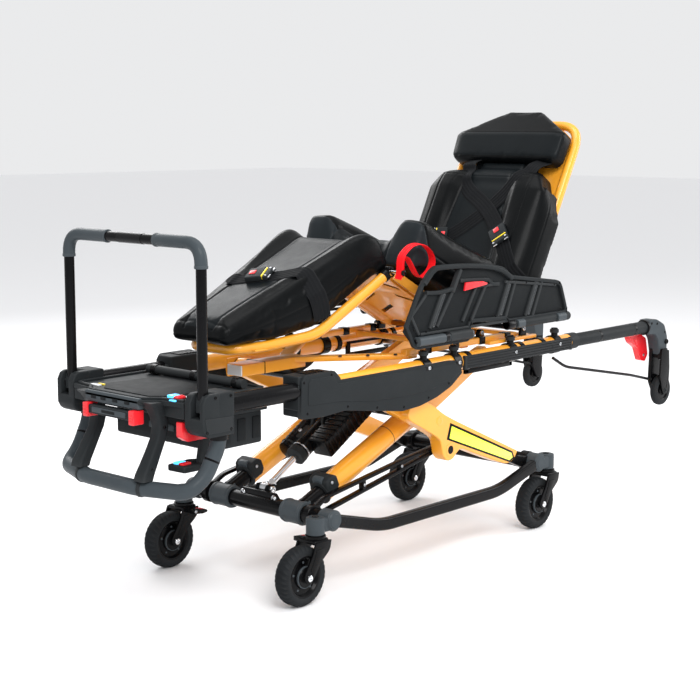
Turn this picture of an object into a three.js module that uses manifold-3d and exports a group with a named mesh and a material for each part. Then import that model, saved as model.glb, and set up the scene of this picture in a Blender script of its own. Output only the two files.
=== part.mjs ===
// Powered ambulance stretcher trolley: a wheeled base, a telescoping X-frame
// and a litter with an articulated patient surface.
// Millimetres, +Z up, +X toward the head end, +Y toward the patient's right.
import * as THREE from 'three';
import { mergeVertices } from 'three/addons/utils/BufferGeometryUtils.js';
import Module from 'manifold-3d';

const wasm = await Module();
wasm.setup();

// ---- driving dimensions -------------------------------------------------
// x is measured from the foot casters' axle; CENTRE_X moves the middle to 0.
const CENTRE_X = 665;
const GAP = 0.4;
const PIVOT_GAP = 1.4;

const WHEEL_R = 76;
const WHEEL_HALF = 22;
const WHEEL_FACETS = 20;
const CASTER_Y = 247;
const CASTER_TRAIL = 55;
const FOOT_SWIVEL_X = 55;
const HEAD_SWIVEL_X = 1055;
const CROWN_TOP = 171;

const BASE_FOOT_X = 103;
const BASE_HEAD_X = 996;
const BASE_Z = 200;
const BASE_LOW_Z = 149;
const CROSS_TUBE_R = 22.5;
const BASE_HALF_WIDTH = 268;
const SIDE_BAR_Y = 258;
const SIDE_BAR_WIDTH = 22;
const SIDE_BAR_HEIGHT = 33;

const LEG_ANGLE = THREE.MathUtils.degToRad(23.3);
const LEG_LOWER = 486;
const LEG_UPPER = 336;
const LEG_A_Y = 140;
const LEG_A_TUBE_R = 30;
const LEG_A_INNER_R = 22;
const LEG_B_INNER_FACE = 205;
const LEG_B_OUTER_FACE = 246.5;

// The ram runs from a pin on the base to an eye on leg A, given along and above leg A.
const ROD_PIN = [125, 236];
const RAM_EYE = [433, 78];
const RAM_RUN = BASE_FOOT_X + RAM_EYE[0] * Math.cos(LEG_ANGLE) - RAM_EYE[1] * Math.sin(LEG_ANGLE) - ROD_PIN[0];
const RAM_RISE = BASE_Z + RAM_EYE[0] * Math.sin(LEG_ANGLE) + RAM_EYE[1] * Math.cos(LEG_ANGLE) - ROD_PIN[1];
const ROD_ANGLE = Math.atan2(RAM_RISE, RAM_RUN);
const RAM_LENGTH = Math.hypot(RAM_RUN, RAM_RISE);
const RAM_PIN_R = 7.5;
// The linkage is open at this pin, so its hole is wide enough for the whole travel.
const RAM_PIN_SLACK = 2.1;

const RAIL_Y = 245;
const RAIL_Z = 543;
const RAIL_WALL = 2.6;
const HEAD_TUBE_R = 20;
const RAIL_BORE_R = HEAD_TUBE_R + GAP;
const RAIL_R = RAIL_BORE_R + RAIL_WALL;
const LEG_PIN_END = RAIL_Y - RAIL_R - 0.5;
const RAIL_FOOT_X = -239;
const RAIL_HEAD_X = 1190;
const HEAD_END_X = 1640;
const HALF_WIDTH = 274;

const LEG_REACH = LEG_LOWER + LEG_UPPER;
const PIVOT_B = [BASE_HEAD_X - LEG_REACH * Math.cos(LEG_ANGLE), BASE_Z + LEG_REACH * Math.sin(LEG_ANGLE)];
const HIP = [800, 600];
const KNEE = [430, 800];
const BACK_PIVOT = [958, 600];
const BACK_ANGLE = THREE.MathUtils.degToRad(61.5);
const BACK_LOOP_LENGTH = 664;
const BACK_LOOP_Y = 200;
const FRAME_TUBE_R = 14;
const CUSHION_HALF = 212;

const LOAD_WHEEL = [1690, 328];
const LOAD_WHEEL_R = 50;
const PUSH_PIVOT = [-312, 545];
const PUSH_Y = 242;
const PUSH_TOP_Z = 920;
const GUARD_Y = 268;

// ---- materials ----------------------------------------------------------
function paint(color, roughness, metalness) {
  return new THREE.MeshStandardMaterial({ color, roughness, metalness });
}
const YELLOW = paint(0xf7a92a, 0.35, 0.1);
const BLACK = paint(0x141516, 0.3, 0.3);
const DARK = paint(0x3a3f42, 0.6, 0.0);
const GREY = paint(0x5c656b, 0.45, 0.1);
const CHROME = paint(0xd8dadc, 0.12, 1.0);
const RUBBER = paint(0x2b2e30, 0.85, 0.0);
const VINYL = paint(0x24282a, 0.5, 0.0);
const WEBBING = paint(0x1c1e20, 0.9, 0.0);
const RED = paint(0xe8252b, 0.45, 0.0);
const BLUE = paint(0x2f8fe0, 0.3, 0.0);

const model = new THREE.Group();
model.position.x = -CENTRE_X;

// ---- geometry helpers ---------------------------------------------------
function solid(geometry) {
  const bare = geometry.index ? geometry.toNonIndexed() : geometry.clone();
  bare.deleteAttribute('normal');
  bare.deleteAttribute('uv');
  const merged = mergeVertices(bare, 1e-3);
  return new wasm.Manifold(new wasm.Mesh({
    numProp: 3,
    vertProperties: new Float32Array(merged.attributes.position.array),
    triVerts: new Uint32Array(merged.index.array),
  }));
}

function join(...pieces) {
  return pieces.reduce((whole, piece) => whole.add(piece));
}

function geometryOf(manifold) {
  const mesh = manifold.getMesh();
  const geometry = new THREE.BufferGeometry();
  geometry.setAttribute('position', new THREE.BufferAttribute(mesh.vertProperties, 3));
  geometry.setIndex(new THREE.BufferAttribute(mesh.triVerts, 1));
  geometry.computeVertexNormals();
  return geometry;
}

function place(name, manifold, material, position = [0, 0, 0], turnY = 0) {
  const mesh = new THREE.Mesh(geometryOf(manifold), material);
  mesh.name = name;
  mesh.position.set(...position);
  mesh.rotation.y = turnY;
  model.add(mesh);
  return mesh;
}

function outline(points) {
  return new THREE.Shape(points.map(([a, b]) => new THREE.Vector2(a, b)));
}

function extrude(shape, depth, segments = 6) {
  return new THREE.ExtrudeGeometry(shape, { depth, bevelEnabled: false, curveSegments: segments });
}

// A plate whose outline lies in the XZ plane and whose thickness runs along Y.
function sidePlate(points, ya, yb) {
  const low = Math.min(ya, yb);
  const geometry = extrude(outline(points), Math.abs(yb - ya));
  geometry.rotateX(Math.PI / 2);
  geometry.translate(0, low + Math.abs(yb - ya), 0);
  return solid(geometry);
}

// A plate whose outline lies in the XY plane, from za up to zb.
function floorPlate(points, za, zb) {
  const geometry = extrude(outline(points), zb - za);
  geometry.translate(0, 0, za);
  return solid(geometry);
}

// A plate whose outline lies in the YZ plane, from xa to xb.
function crossPlate(points, xa, xb) {
  const geometry = extrude(outline(points), xb - xa);
  const turn = new THREE.Matrix4().makeBasis(
    new THREE.Vector3(0, 1, 0), new THREE.Vector3(0, 0, 1), new THREE.Vector3(1, 0, 0));
  geometry.applyMatrix4(turn);
  geometry.translate(xa, 0, 0);
  return solid(geometry);
}

function box(xa, xb, ya, yb, za, zb) {
  const geometry = new THREE.BoxGeometry(xb - xa, Math.abs(yb - ya), zb - za);
  geometry.translate((xa + xb) / 2, (ya + yb) / 2, (za + zb) / 2);
  return solid(geometry);
}

function rod(from, to, radius, sides = 16) {
  const a = new THREE.Vector3(...from);
  const b = new THREE.Vector3(...to);
  const geometry = new THREE.CylinderGeometry(radius, radius, a.distanceTo(b), sides);
  const turn = new THREE.Quaternion().setFromUnitVectors(
    new THREE.Vector3(0, 1, 0), b.clone().sub(a).normalize());
  geometry.applyQuaternion(turn);
  const middle = a.add(b).multiplyScalar(0.5);
  geometry.translate(middle.x, middle.y, middle.z);
  return solid(geometry);
}

// A round tube along straight runs with rounded corners.
function pipe(points, radius, bend, steps, sides = 12) {
  const corners = points.map((p) => new THREE.Vector3(...p));
  const path = new THREE.CurvePath();
  let start = corners[0];
  for (let i = 1; i < corners.length - 1; i += 1) {
    const before = corners[i - 1].clone().sub(corners[i]).normalize();
    const after = corners[i + 1].clone().sub(corners[i]).normalize();
    const enter = corners[i].clone().addScaledVector(before, bend);
    const leave = corners[i].clone().addScaledVector(after, bend);
    path.add(new THREE.LineCurve3(start, enter));
    path.add(new THREE.QuadraticBezierCurve3(enter, corners[i], leave));
    start = leave;
  }
  path.add(new THREE.LineCurve3(start, corners.at(-1)));
  const section = Array.from({ length: sides }, (_, i) => {
    const turn = (i / sides) * Math.PI * 2;
    return [radius * Math.cos(turn), radius * Math.sin(turn)];
  });
  return solid(new THREE.ExtrudeGeometry(outline(section), { steps, extrudePath: path, bevelEnabled: false }));
}

// A flat bar of the given height that follows a line of points in XZ.
function bar(points, height, ya, yb) {
  const above = [];
  const below = [];
  points.forEach((point, i) => {
    const a = new THREE.Vector2(...points[Math.max(i - 1, 0)]);
    const b = new THREE.Vector2(...points[Math.min(i + 1, points.length - 1)]);
    const along = b.sub(a).normalize();
    const normal = [-along.y * height / 2, along.x * height / 2];
    above.push([point[0] + normal[0], point[1] + normal[1]]);
    below.push([point[0] - normal[0], point[1] - normal[1]]);
  });
  return sidePlate([...below, ...above.reverse()], ya, yb);
}

function disc(centre, radius, ya, yb, sides = 16) {
  return rod([centre[0], ya, centre[1]], [centre[0], yb, centre[1]], radius, sides);
}

// A wheel turned about Y with a bore through it; profile is [radius, y].
// Its facets touch their circle at the middle, and one facet faces straight down.
function wheel(profile, centre, y) {
  const half = Math.PI / WHEEL_FACETS;
  const points = profile.map(([r, h]) => new THREE.Vector2(r / Math.cos(half), h));
  points.push(points[0].clone());
  const geometry = new THREE.LatheGeometry(points, WHEEL_FACETS, half);
  geometry.translate(centre[0], y, centre[1]);
  return solid(geometry);
}

const SIDES = [['left', -1], ['right', 1]];

// ---- base ---------------------------------------------------------------
function casterBoss(swivelX, tubeX, side) {
  const y = side * 250;
  const neck = box(Math.min(swivelX, tubeX), Math.max(swivelX, tubeX), y - 18, y + 18, CROWN_TOP + GAP, 212);
  const barrel = rod([swivelX, side * CASTER_Y, CROWN_TOP + GAP], [swivelX, side * CASTER_Y, 216], 24);
  return join(neck, barrel);
}

function baseFrame() {
  const pieces = [];
  for (const x of [BASE_FOOT_X, BASE_HEAD_X]) {
    pieces.push(disc([x, BASE_Z], CROSS_TUBE_R, -BASE_HALF_WIDTH, BASE_HALF_WIDTH));
  }
  for (const [, side] of SIDES) {
    const line = [[BASE_FOOT_X, BASE_Z], [296, BASE_LOW_Z], [804, BASE_LOW_Z], [BASE_HEAD_X, BASE_Z]];
    const inner = side * (SIDE_BAR_Y - SIDE_BAR_WIDTH / 2);
    const outer = side * (SIDE_BAR_Y + SIDE_BAR_WIDTH / 2);
    pieces.push(bar(line, SIDE_BAR_HEIGHT, inner, outer));
    pieces.push(casterBoss(FOOT_SWIVEL_X, BASE_FOOT_X, side));
    pieces.push(casterBoss(HEAD_SWIVEL_X, BASE_HEAD_X, side));
    for (const x of [BASE_FOOT_X, BASE_HEAD_X]) {
      pieces.push(disc([x, BASE_Z], 25, side * (BASE_HALF_WIDTH - 4), side * HALF_WIDTH));
    }
    pieces.push(sidePlate([[100, 205], [140, 226], [140, 248], [112, 250], [100, 232]], side * 14, side * 22));
  }
  pieces.push(crossPlate([[-88, 205], [88, 205], [60, 236], [-60, 236]], 98, 108));
  return join(...pieces);
}
place('base_frame', baseFrame(), BLACK);

// ---- casters ------------------------------------------------------------
function casterFork(swivelX, side) {
  const y = side * CASTER_Y;
  const axleX = swivelX - CASTER_TRAIL;
  const crown = box(swivelX - 34, swivelX + 26, y - 34, y + 34, 156, CROWN_TOP);
  const cheek = [[swivelX - 30, 160], [axleX - 15, WHEEL_R + 8], [axleX - 10, WHEEL_R - 14],
    [axleX + 12, WHEEL_R - 14], [swivelX - 4, 118], [swivelX + 24, 160]];
  return join(
    crown,
    sidePlate(cheek, y - 34, y - 28),
    sidePlate(cheek, y + 28, y + 34),
    disc([axleX, WHEEL_R], 6, y - 37, y + 37, 12));
}

const CASTER_PROFILE = [[6.6, -25], [30, -25], [37, -17], [61, -WHEEL_HALF], [WHEEL_R, -12],
  [WHEEL_R, 12], [61, WHEEL_HALF], [37, 17], [30, 25], [6.6, 25]];
const LOAD_PROFILE = [[6.6, -13], [38, -13], [LOAD_WHEEL_R, -9], [LOAD_WHEEL_R, 9], [38, 13], [6.6, 13]];

for (const [sideName, side] of SIDES) {
  for (const [endName, swivelX] of [['foot', FOOT_SWIVEL_X], ['head', HEAD_SWIVEL_X]]) {
    place(`caster_fork_${endName}_${sideName}`, casterFork(swivelX, side), BLACK);
    const centre = [swivelX - CASTER_TRAIL, WHEEL_R];
    place(`caster_wheel_${endName}_${sideName}`, wheel(CASTER_PROFILE, centre, side * CASTER_Y), RUBBER);
  }
}

// Brake pedals sit on the inboard cheek of each foot caster.
function brakePedal(side) {
  const inboard = side * (CASTER_Y - 34 - GAP);
  const pad = [[38, 160], [84, 154], [88, 146], [70, 144], [38, 148]];
  return sidePlate(pad, inboard, inboard - side * 26);
}
for (const [sideName, side] of SIDES) {
  place(`brake_pedal_${sideName}`, brakePedal(side), BLACK);
}

// ---- X-frame ------------------------------------------------------------
// Leg A is drawn along +X from its base pin, leg B along -X from its base pin.
const PIN_A = [BASE_FOOT_X, 0, BASE_Z];
const PIN_B = [BASE_HEAD_X, 0, BASE_Z];

function legAInner(side) {
  const collar = disc([0, 0], 30, side * 98, side * 168).subtract(
    disc([0, 0], CROSS_TUBE_R + PIVOT_GAP, side * 90, side * 175));
  const tube = rod([26, side * LEG_A_Y, 0], [320, side * LEG_A_Y, 0], LEG_A_INNER_R);
  return join(collar, tube);
}

function legAOuter(side) {
  const y = side * LEG_A_Y;
  const tube = rod([92, y, 0], [470, y, 0], LEG_A_TUBE_R);
  const clamp = box(86, 124, y - 34, y + 34, -16, 38);
  const arm = sidePlate([[450, -30], [560, -34], [LEG_REACH, -22], [848, 0],
    [LEG_REACH, 22], [560, 34], [450, 30]], y - side * 14, y + side * 12);
  const pin = disc([LEG_REACH, 0], 11.5, y, side * LEG_PIN_END, 16);
  const bore = rod([60, y, 0], [384, y, 0], LEG_A_INNER_R + GAP);
  const shaftHole = disc([LEG_LOWER, 0], 14, y - 50, y + 50, 16);
  return join(tube, clamp, arm, pin).subtract(bore).subtract(shaftHole);
}

// The centre shaft carries the two brackets that the lift ram pushes on.
function legAShaft() {
  const pieces = [disc([LEG_LOWER, 0], 13.5, -232, 232, 16)];
  for (const [, side] of SIDES) {
    const bracket = [[LEG_LOWER - 22, 0], [LEG_LOWER + 12, -14], [LEG_LOWER + 18, 14],
      [RAM_EYE[0] + 18, RAM_EYE[1] + 12], [RAM_EYE[0] - 12, RAM_EYE[1] + 14], [RAM_EYE[0] - 16, RAM_EYE[1] - 8]];
    pieces.push(sidePlate(bracket, side * 31, side * 40));
  }
  pieces.push(disc(RAM_EYE, RAM_PIN_R, -44, 44, 12));
  return join(...pieces);
}

function legBInner(side) {
  const eye = disc([0, 0], 28, side * 205, side * 230).subtract(
    disc([0, 0], CROSS_TUBE_R + PIVOT_GAP, side * 195, side * 240));
  const neck = sidePlate([[-22, -16], [-22, 12], [-42, 0], [-42, -30], [-34, -28]], side * 206, side * 238);
  const blade = box(-325, -34, side * 216, side * 238, -30, 0);
  return join(eye, neck, blade).subtract(disc([0, 0], CROSS_TUBE_R + PIVOT_GAP, side * 195, side * 245));
}

function legBOuter(side) {
  const casting = [[-95, 10], [-105, -14], [-130, -40], [-368, -49], [-380, -84], [-406, -97], [-432, -84],
    [-446, -56], [-600, -36], [-600, 24], [-520, 27], [-452, 14]];
  const upper = [[-505, -36], [-700, -30], [-822, -28], [-848, -12], [-848, 12], [-822, 26], [-700, 28], [-505, 26]];
  const body = join(
    sidePlate(casting, side * LEG_B_INNER_FACE, side * LEG_B_OUTER_FACE),
    sidePlate(upper, side * 180, side * 217));
  const channel = box(-392, -80, side * 215.6, side * 238.4, -30.4, 0.4);
  const pocket = box(-536, -452, side * 170, side * 236, -40, 14.2);
  const lightening = box(-536, -452, side * 195, side * 236, -44, 26);
  const pinHole = disc([-LEG_REACH, 0], 14.4, side * 170, side * 230, 16);
  return body.subtract(channel).subtract(pocket.add(lightening)).subtract(pinHole);
}

function placeLegs() {
  for (const [sideName, side] of SIDES) {
    place(`leg_a_inner_${sideName}`, legAInner(side), BLACK, PIN_A, -LEG_ANGLE);
    place(`leg_a_outer_${sideName}`, legAOuter(side), YELLOW, PIN_A, -LEG_ANGLE);
    place(`leg_b_inner_${sideName}`, legBInner(side), BLACK, PIN_B, LEG_ANGLE);
    place(`leg_b_outer_${sideName}`, legBOuter(side), YELLOW, PIN_B, LEG_ANGLE);
  }
  place('leg_a_shaft', legAShaft(), BLACK, PIN_A, -LEG_ANGLE);
  place('leg_b_top_tube', disc([-LEG_REACH, 0], 14, -LEG_PIN_END, LEG_PIN_END, 16), BLACK, PIN_B, LEG_ANGLE);
}
placeLegs();

// Each stabiliser link is a pair of flat bars from the base tube to the leg's lobe.
function link(side) {
  const inner = side * 182;
  const outer = side * 200;
  const eye = disc([103, 200], 29, inner, outer);
  const upper = bar([[110, 218], [150, 240], [436, 283], [600, 303]], 10, inner, outer);
  const lower = bar([[118, 192], [150, 204], [436, 259], [600, 292]], 10, inner, outer);
  const strut = box(288, 300, inner, outer, 232, 262);
  const lug = bar([[560, 293], [610, 298], [655, 303]], 30, inner, outer);
  const slot = bar([[590, 297], [640, 302]], 13, side * 170, side * 210);
  const hole = disc([103, 200], CROSS_TUBE_R + PIVOT_GAP, side * 170, side * 210);
  return join(eye, upper, lower, strut, lug).subtract(slot).subtract(hole);
}
for (const [sideName, side] of SIDES) {
  place(`link_${sideName}`, link(side), BLACK);
}

// The lift ram: a chrome rod in a barrel that carries the pump and motor.
function liftRod() {
  const eye = disc([0, 0], 13, -13, 13, 16).subtract(disc([0, 0], 6.4, -20, 20, 12));
  return join(eye, rod([10, 0, 0], [250, 0, 0], 10));
}

function liftBarrel() {
  const barrel = rod([132, 0, 0], [384, 0, 0], 26);
  const neck = box(370, RAM_LENGTH, -12, 12, -14, 14);
  const eye = disc([RAM_LENGTH, 0], 16, -14, 14, 16);
  const pump = box(176, 372, -84, -16, -30, 26);
  const motor = rod([150, 52, -10], [352, 52, -10], 30);
  const manifoldBlock = box(188, 236, -60, 60, -22, 18);
  const bore = rod([120, 0, 0], [322, 0, 0], 10 + GAP);
  const pinHole = disc([RAM_LENGTH, 0], RAM_PIN_R + RAM_PIN_SLACK, -30, 30, 12);
  return join(barrel, neck, eye, pump, motor, manifoldBlock).subtract(bore).subtract(pinHole);
}
const RAM_PIN = [ROD_PIN[0], 0, ROD_PIN[1]];
place('lift_rod', liftRod(), CHROME, RAM_PIN, -ROD_ANGLE);
place('lift_barrel', liftBarrel(), BLACK, RAM_PIN, -ROD_ANGLE);

// ---- litter frame -------------------------------------------------------
function rail(side) {
  const y = side * RAIL_Y;
  const tube = rod([RAIL_FOOT_X, y, RAIL_Z], [RAIL_HEAD_X, y, RAIL_Z], RAIL_R, 16);
  const bore = rod([665, y, RAIL_Z], [RAIL_HEAD_X + 5, y, RAIL_Z], RAIL_BORE_R, 16);
  const plateOut = side * 228;
  const plateIn = side * 218;
  const hanger = sidePlate([[200, 500], [280, 500], [280, 548], [200, 548]], plateIn, plateOut)
    .subtract(disc(PIVOT_B, 14.4, side * 200, side * 240, 16));
  const track = sidePlate([[684, 498], [902, 498], [902, 540], [684, 540]], plateIn, plateOut);
  const slot = bar([[694, PIVOT_B[1]], [886, PIVOT_B[1]]], 25, side * 200, side * 240);
  const posts = [470, 600, 860, 1080].map(
    (x) => rod([x, side * 250, 556], [x, side * 250, 594], 9, 8));
  return join(tube, hanger, track, ...posts).subtract(bore).subtract(slot);
}

function cover(side) {
  const y = side * RAIL_Y;
  const shell = [[-19, 476], [-19, 562], [-4, 583], [104, 583], [120, 557], [560, 556], [598, 552],
    [616, 516], [566, 484], [507, 463], [435, 448], [361, 444], [140, 477], [60, 472]];
  const face = sidePlate(shell, side * 264, side * 272);
  const block = box(-19, 110, side * 204, side * 270, 478, 582);
  const floor = sidePlate([[100, 478], [140, 478], [361, 445], [430, 448], [430, 456], [361, 453], [140, 486],
    [100, 486]], side * 254, side * 266);
  const bore = rod([-40, y, RAIL_Z], [680, y, RAIL_Z], RAIL_R + GAP, 16);
  return join(face, block, floor).subtract(bore);
}

function bumper(side) {
  const strip = box(622, 1140, side * 260, side * HALF_WIDTH, 524, 560);
  const bore = rod([600, side * RAIL_Y, RAIL_Z], [1160, side * RAIL_Y, RAIL_Z], RAIL_R + GAP, 16);
  return strip.subtract(bore);
}

for (const [sideName, side] of SIDES) {
  place(`rail_${sideName}`, rail(side), YELLOW);
  place(`cover_${sideName}`, cover(side), DARK);
  place(`bumper_${sideName}`, bumper(side), RUBBER);
}

const SPINE_HALF = 28;

// A ladder frame between the rails carries the patient surface.
function litterFrame() {
  const spine = box(16, 250, -SPINE_HALF, SPINE_HALF, 548, 580);
  const pieces = [spine];
  for (const [, side] of SIDES) {
    const arm = [[200, side * 20], [236, side * 56], [450, side * 217], [486, side * 217], [486, side * 196],
      [250, side * 20]];
    pieces.push(floorPlate(arm, 566, 580));
    pieces.push(box(440, 936, side * 193, side * 217, 574, 592));
    pieces.push(box(784, 1010, side * 214, side * 236, 570, 580));
    pieces.push(sidePlate([[784, 580], [816, 580], [812, 610], [788, 610]], side * 181, side * 194));
    pieces.push(sidePlate([[942, 580], [974, 580], [970, 610], [946, 610]], side * 216.6, side * 226));
  }
  pieces.push(box(700, 730, -200, 200, 566, 580));
  pieces.push(box(984, 1008, -230, 230, 568, 580));
  let frame = join(...pieces);
  frame = frame.subtract(disc(HIP, 8.4, -300, 300, 12));
  frame = frame.subtract(disc(BACK_PIVOT, 8.4, -300, 300, 12));
  for (const [, side] of SIDES) {
    frame = frame.subtract(rod([400, side * RAIL_Y, RAIL_Z], [1100, side * RAIL_Y, RAIL_Z], RAIL_R + GAP, 16));
  }
  return frame;
}
place('litter_frame', litterFrame(), YELLOW);

// ---- foot end -----------------------------------------------------------
function housing(side) {
  const body = sidePlate([[-338, 498], [-322, 476], [-240, 476], [-240, 577], [-326, 577], [-338, 566]],
    side * 206, side * 272);
  const slot = box(-360, -292, side * 227, side * 257, 524, 600);
  return body.subtract(slot).subtract(disc(PUSH_PIVOT, 6.4, side * 215, side * 265, 12));
}

function pushBar() {
  const hoop = pipe([[-312, -PUSH_Y, 560], [-312, -PUSH_Y, PUSH_TOP_Z], [-312, PUSH_Y, PUSH_TOP_Z],
    [-312, PUSH_Y, 560]], 13.5, 55, 24, 8);
  const pieces = [hoop];
  for (const [, side] of SIDES) {
    pieces.push(sidePlate([[-326, 532], [-298, 532], [-298, 575], [-326, 575]], side * 231, side * 253));
    pieces.push(disc(PUSH_PIVOT, 6, side * 217, side * 263, 12));
    const corner = [[-312, side * 75, PUSH_TOP_Z], [-312, side * PUSH_Y, PUSH_TOP_Z],
      [-312, side * PUSH_Y, 845]];
    pieces.push(pipe(corner, 18, 55, 7, 8));
  }
  return join(...pieces);
}

function liftHoop() {
  const half = [[-262, 240, 475], [-262, 240, 452], [-300, 236, 378], [-344, 226, 346], [-391, 96, 346]];
  const other = half.map(([x, y, z]) => [x, -y, z]).reverse();
  return pipe([...half, ...other], 19, 14, 28, 8);
}

// Lift buttons sit in wells in the console, on the operator's side.
const BUTTONS = [-146, -168];

// The console: a tray between the housings, a fascia and two posts down to the hoop.
function consoleFrame() {
  const tray = floorPlate([[-338, -204], [-60, -204], [-60, 204], [-338, 204], [-350, 130], [-384, 100],
    [-384, -100], [-350, -130]], 540, 556);
  const pieces = [tray, box(-384, -366, -100, 100, 528, 556), box(-338, -300, -204, 204, 512, 548)];
  for (const [, side] of SIDES) {
    pieces.push(box(-262, -64, side * 190, side * 203, 500, 545));
    pieces.push(sidePlate([[-384, 545], [-340, 545], [-318, 500], [-318, 468], [-378, 366.5], [-402, 366.5],
      [-352, 470], [-360, 500], [-384, 520]], side * 97, side * 127));
  }
  const wells = BUTTONS.map((y) => box(-331, -303, y - 9, y + 9, 550, 560));
  return join(...pieces).subtract(join(...wells));
}

function footLatch() {
  const grip = box(-392, -366, -92, 92, 500, 524);
  const tabs = SIDES.map(([, side]) => box(-396, -362, side * 76, side * 95, 492, 527));
  return join(grip, ...tabs);
}

function battery() {
  const pack = box(-225, -62, -180, 180, 416, 499.5);
  const shelf = box(-150, -64, -186, 186, 496, 538);
  return join(pack, shelf).subtract(box(-230, -58, -195, -189, 490, 545));
}

for (const [sideName, side] of SIDES) {
  place(`housing_${sideName}`, housing(side), DARK);
}
place('push_bar', pushBar(), BLACK);
place('lift_hoop', liftHoop(), GREY);
place('console', consoleFrame(), DARK);
place('foot_latch', footLatch(), RED);
place('battery_pack', battery(), BLACK);
place('raise_button', box(-330, -304, BUTTONS[0] - 8, BUTTONS[0] + 8, 554, 564), BLUE);
place('lower_button', box(-330, -304, BUTTONS[1] - 8, BUTTONS[1] + 8, 554, 564), RED);
place('release_lever', sidePlate([[-336, 505], [-308, 505], [-308, 474], [-250, 466], [-250, 458], [-318, 458],
  [-336, 470]], -196, -176), RED);

// ---- patient surface ----------------------------------------------------
const THIGH_ANGLE = Math.atan2(KNEE[1] - HIP[1], HIP[0] - KNEE[0]);
const THIGH_LENGTH = Math.hypot(KNEE[0] - HIP[0], KNEE[1] - HIP[1]);

// Drawn flat along -X from the hip hinge.
function thighPan() {
  const slots = [];
  for (const [, side] of SIDES) {
    for (const x of [-330, -240, -150]) {
      const slot = [[x, side * 40], [x + 60, side * 120], [x + 78, side * 120], [x + 18, side * 40]];
      slots.push(floorPlate(slot, 0, 20));
    }
  }
  const pan = floorPlate([[-THIGH_LENGTH + 26, -168], [-20, -168], [-20, 168], [-THIGH_LENGTH + 26, 168]],
    4, 12).subtract(join(...slots));
  const pieces = [pan, disc([-THIGH_LENGTH, 0], 12, -150, 150, 16), disc([0, 0], 8, -194, 194, 12)];
  for (const [, side] of SIDES) {
    pieces.push(sidePlate([[-THIGH_LENGTH, -10], [-THIGH_LENGTH + 40, -16], [-60, -16], [12, -10], [12, 10],
      [-60, 12], [-THIGH_LENGTH, 12]], side * 140, side * 150));
    pieces.push(sidePlate([[-THIGH_LENGTH + 26, -14], [-40, -12], [-20, 12], [-THIGH_LENGTH + 26, 12]],
      side * 160, side * 168));
  }
  return join(...pieces);
}
place('thigh_pan', thighPan(), YELLOW, [HIP[0], 0, HIP[1]], THIGH_ANGLE);

const LEG_LOOP_FOOT_X = -64;

function legFrame() {
  const half = [[KNEE[0] - 4, -166, KNEE[1] - 2], [177, -134, 652], [20, -98, 634], [LEG_LOOP_FOOT_X, -62, 632]];
  const other = half.map(([x, y, z]) => [x, -y, z]).reverse();
  const loop = pipe([...half, ...other], FRAME_TUBE_R, 34, 26, 8);
  const pan = box(-20, 104, -112, 112, 626, 632);
  return join(loop, pan);
}
place('leg_frame', legFrame(), YELLOW);

// Leg cushion: side outline, then narrowed toward the foot end.
function legCushion() {
  const side = [[414, 850], [428, 824], [178, 674], [60, 653], [-104, 652], [-118, 672], [-106, 696],
    [330, 896], [360, 904], [380, 898], [396, 880]];
  const geometry = extrude(outline(side), 2);
  geometry.rotateX(Math.PI / 2);
  geometry.translate(0, 1, 0);
  const points = geometry.attributes.position;
  for (let i = 0; i < points.count; i += 1) {
    const width = 86 + ((points.getX(i) + 118) * 84) / 560;
    points.setY(i, points.getY(i) * width);
  }
  return solid(geometry);
}
place('cushion_leg', legCushion(), VINYL);

function seatCushion() {
  const side = [[456, 812], [480, 866], [500, 918], [514, 938], [534, 934], [830, 812], [852, 790], [852, 640],
    [820, 622]];
  const bolsters = sidePlate(side, -CUSHION_HALF, CUSHION_HALF);
  const trough = sidePlate([[430, 880], [540, 868], [860, 704], [900, 704], [900, 980], [430, 980]], -112, 112);
  return bolsters.subtract(trough);
}
place('cushion_seat', seatCushion(), VINYL);

// Backrest pieces are drawn flat along +X from the back pivot.
function backFrame() {
  const end = BACK_LOOP_LENGTH;
  const loop = pipe([[-4, -BACK_LOOP_Y, 0], [end, -BACK_LOOP_Y, 0], [end, BACK_LOOP_Y, 0], [-4, BACK_LOOP_Y, 0]],
    FRAME_TUBE_R, 75, 24, 8);
  const slots = SIDES.map(([, side]) => {
    const slot = [[560, side * 150], [610, side * 128], [610, side * 150], [560, side * 172]];
    return floorPlate(slot, -8, 8);
  });
  const sheet = floorPlate([[70, -196], [600, -196], [650, -140], [650, 140], [600, 196], [70, 196]], -3, 3)
    .subtract(join(...slots));
  const pin = disc([0, 0], 8, -226, 226, 12);
  return join(loop, sheet, pin);
}

function backCushion() {
  const front = floorPlate([[76, -CUSHION_HALF], [400, -CUSHION_HALF], [474, -176], [474, 176],
    [400, CUSHION_HALF], [76, CUSHION_HALF]], 15, 118);
  const trough = box(60, 480, -104, 104, 92, 130);
  return front.subtract(trough);
}

function headrest() {
  const outlineFlat = [[532, -170], [548, -186], [604, -196], [704, -60], [704, 60], [604, 196], [548, 186],
    [532, 170]];
  const block = floorPlate(outlineFlat, 16, 64);
  const slope = sidePlate([[590, 64.5], [720, 26], [720, 90], [590, 90]], -240, 240);
  return block.subtract(slope);
}

const BACK_AT = [BACK_PIVOT[0], 0, BACK_PIVOT[1]];
place('back_frame', backFrame(), YELLOW, BACK_AT, -BACK_ANGLE);
place('cushion_back', backCushion(), VINYL, BACK_AT, -BACK_ANGLE);
place('headrest', headrest(), VINYL, BACK_AT, -BACK_ANGLE);

// Harness webbing crosses the back cushion; the leg strap goes over the leg cushion.
function harness() {
  const first = [[505, -70], [480, -108], [150, 96], [128, 150], [162, 166], [190, 120]];
  const second = [[505, 70], [480, 108], [150, -96], [110, -196], [146, -204], [190, -120]];
  return join(floorPlate(first.reverse(), 118.6, 123), floorPlate(second, 118.6, 123));
}
place('harness_strap', harness(), WEBBING, BACK_AT, -BACK_ANGLE);

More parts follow.
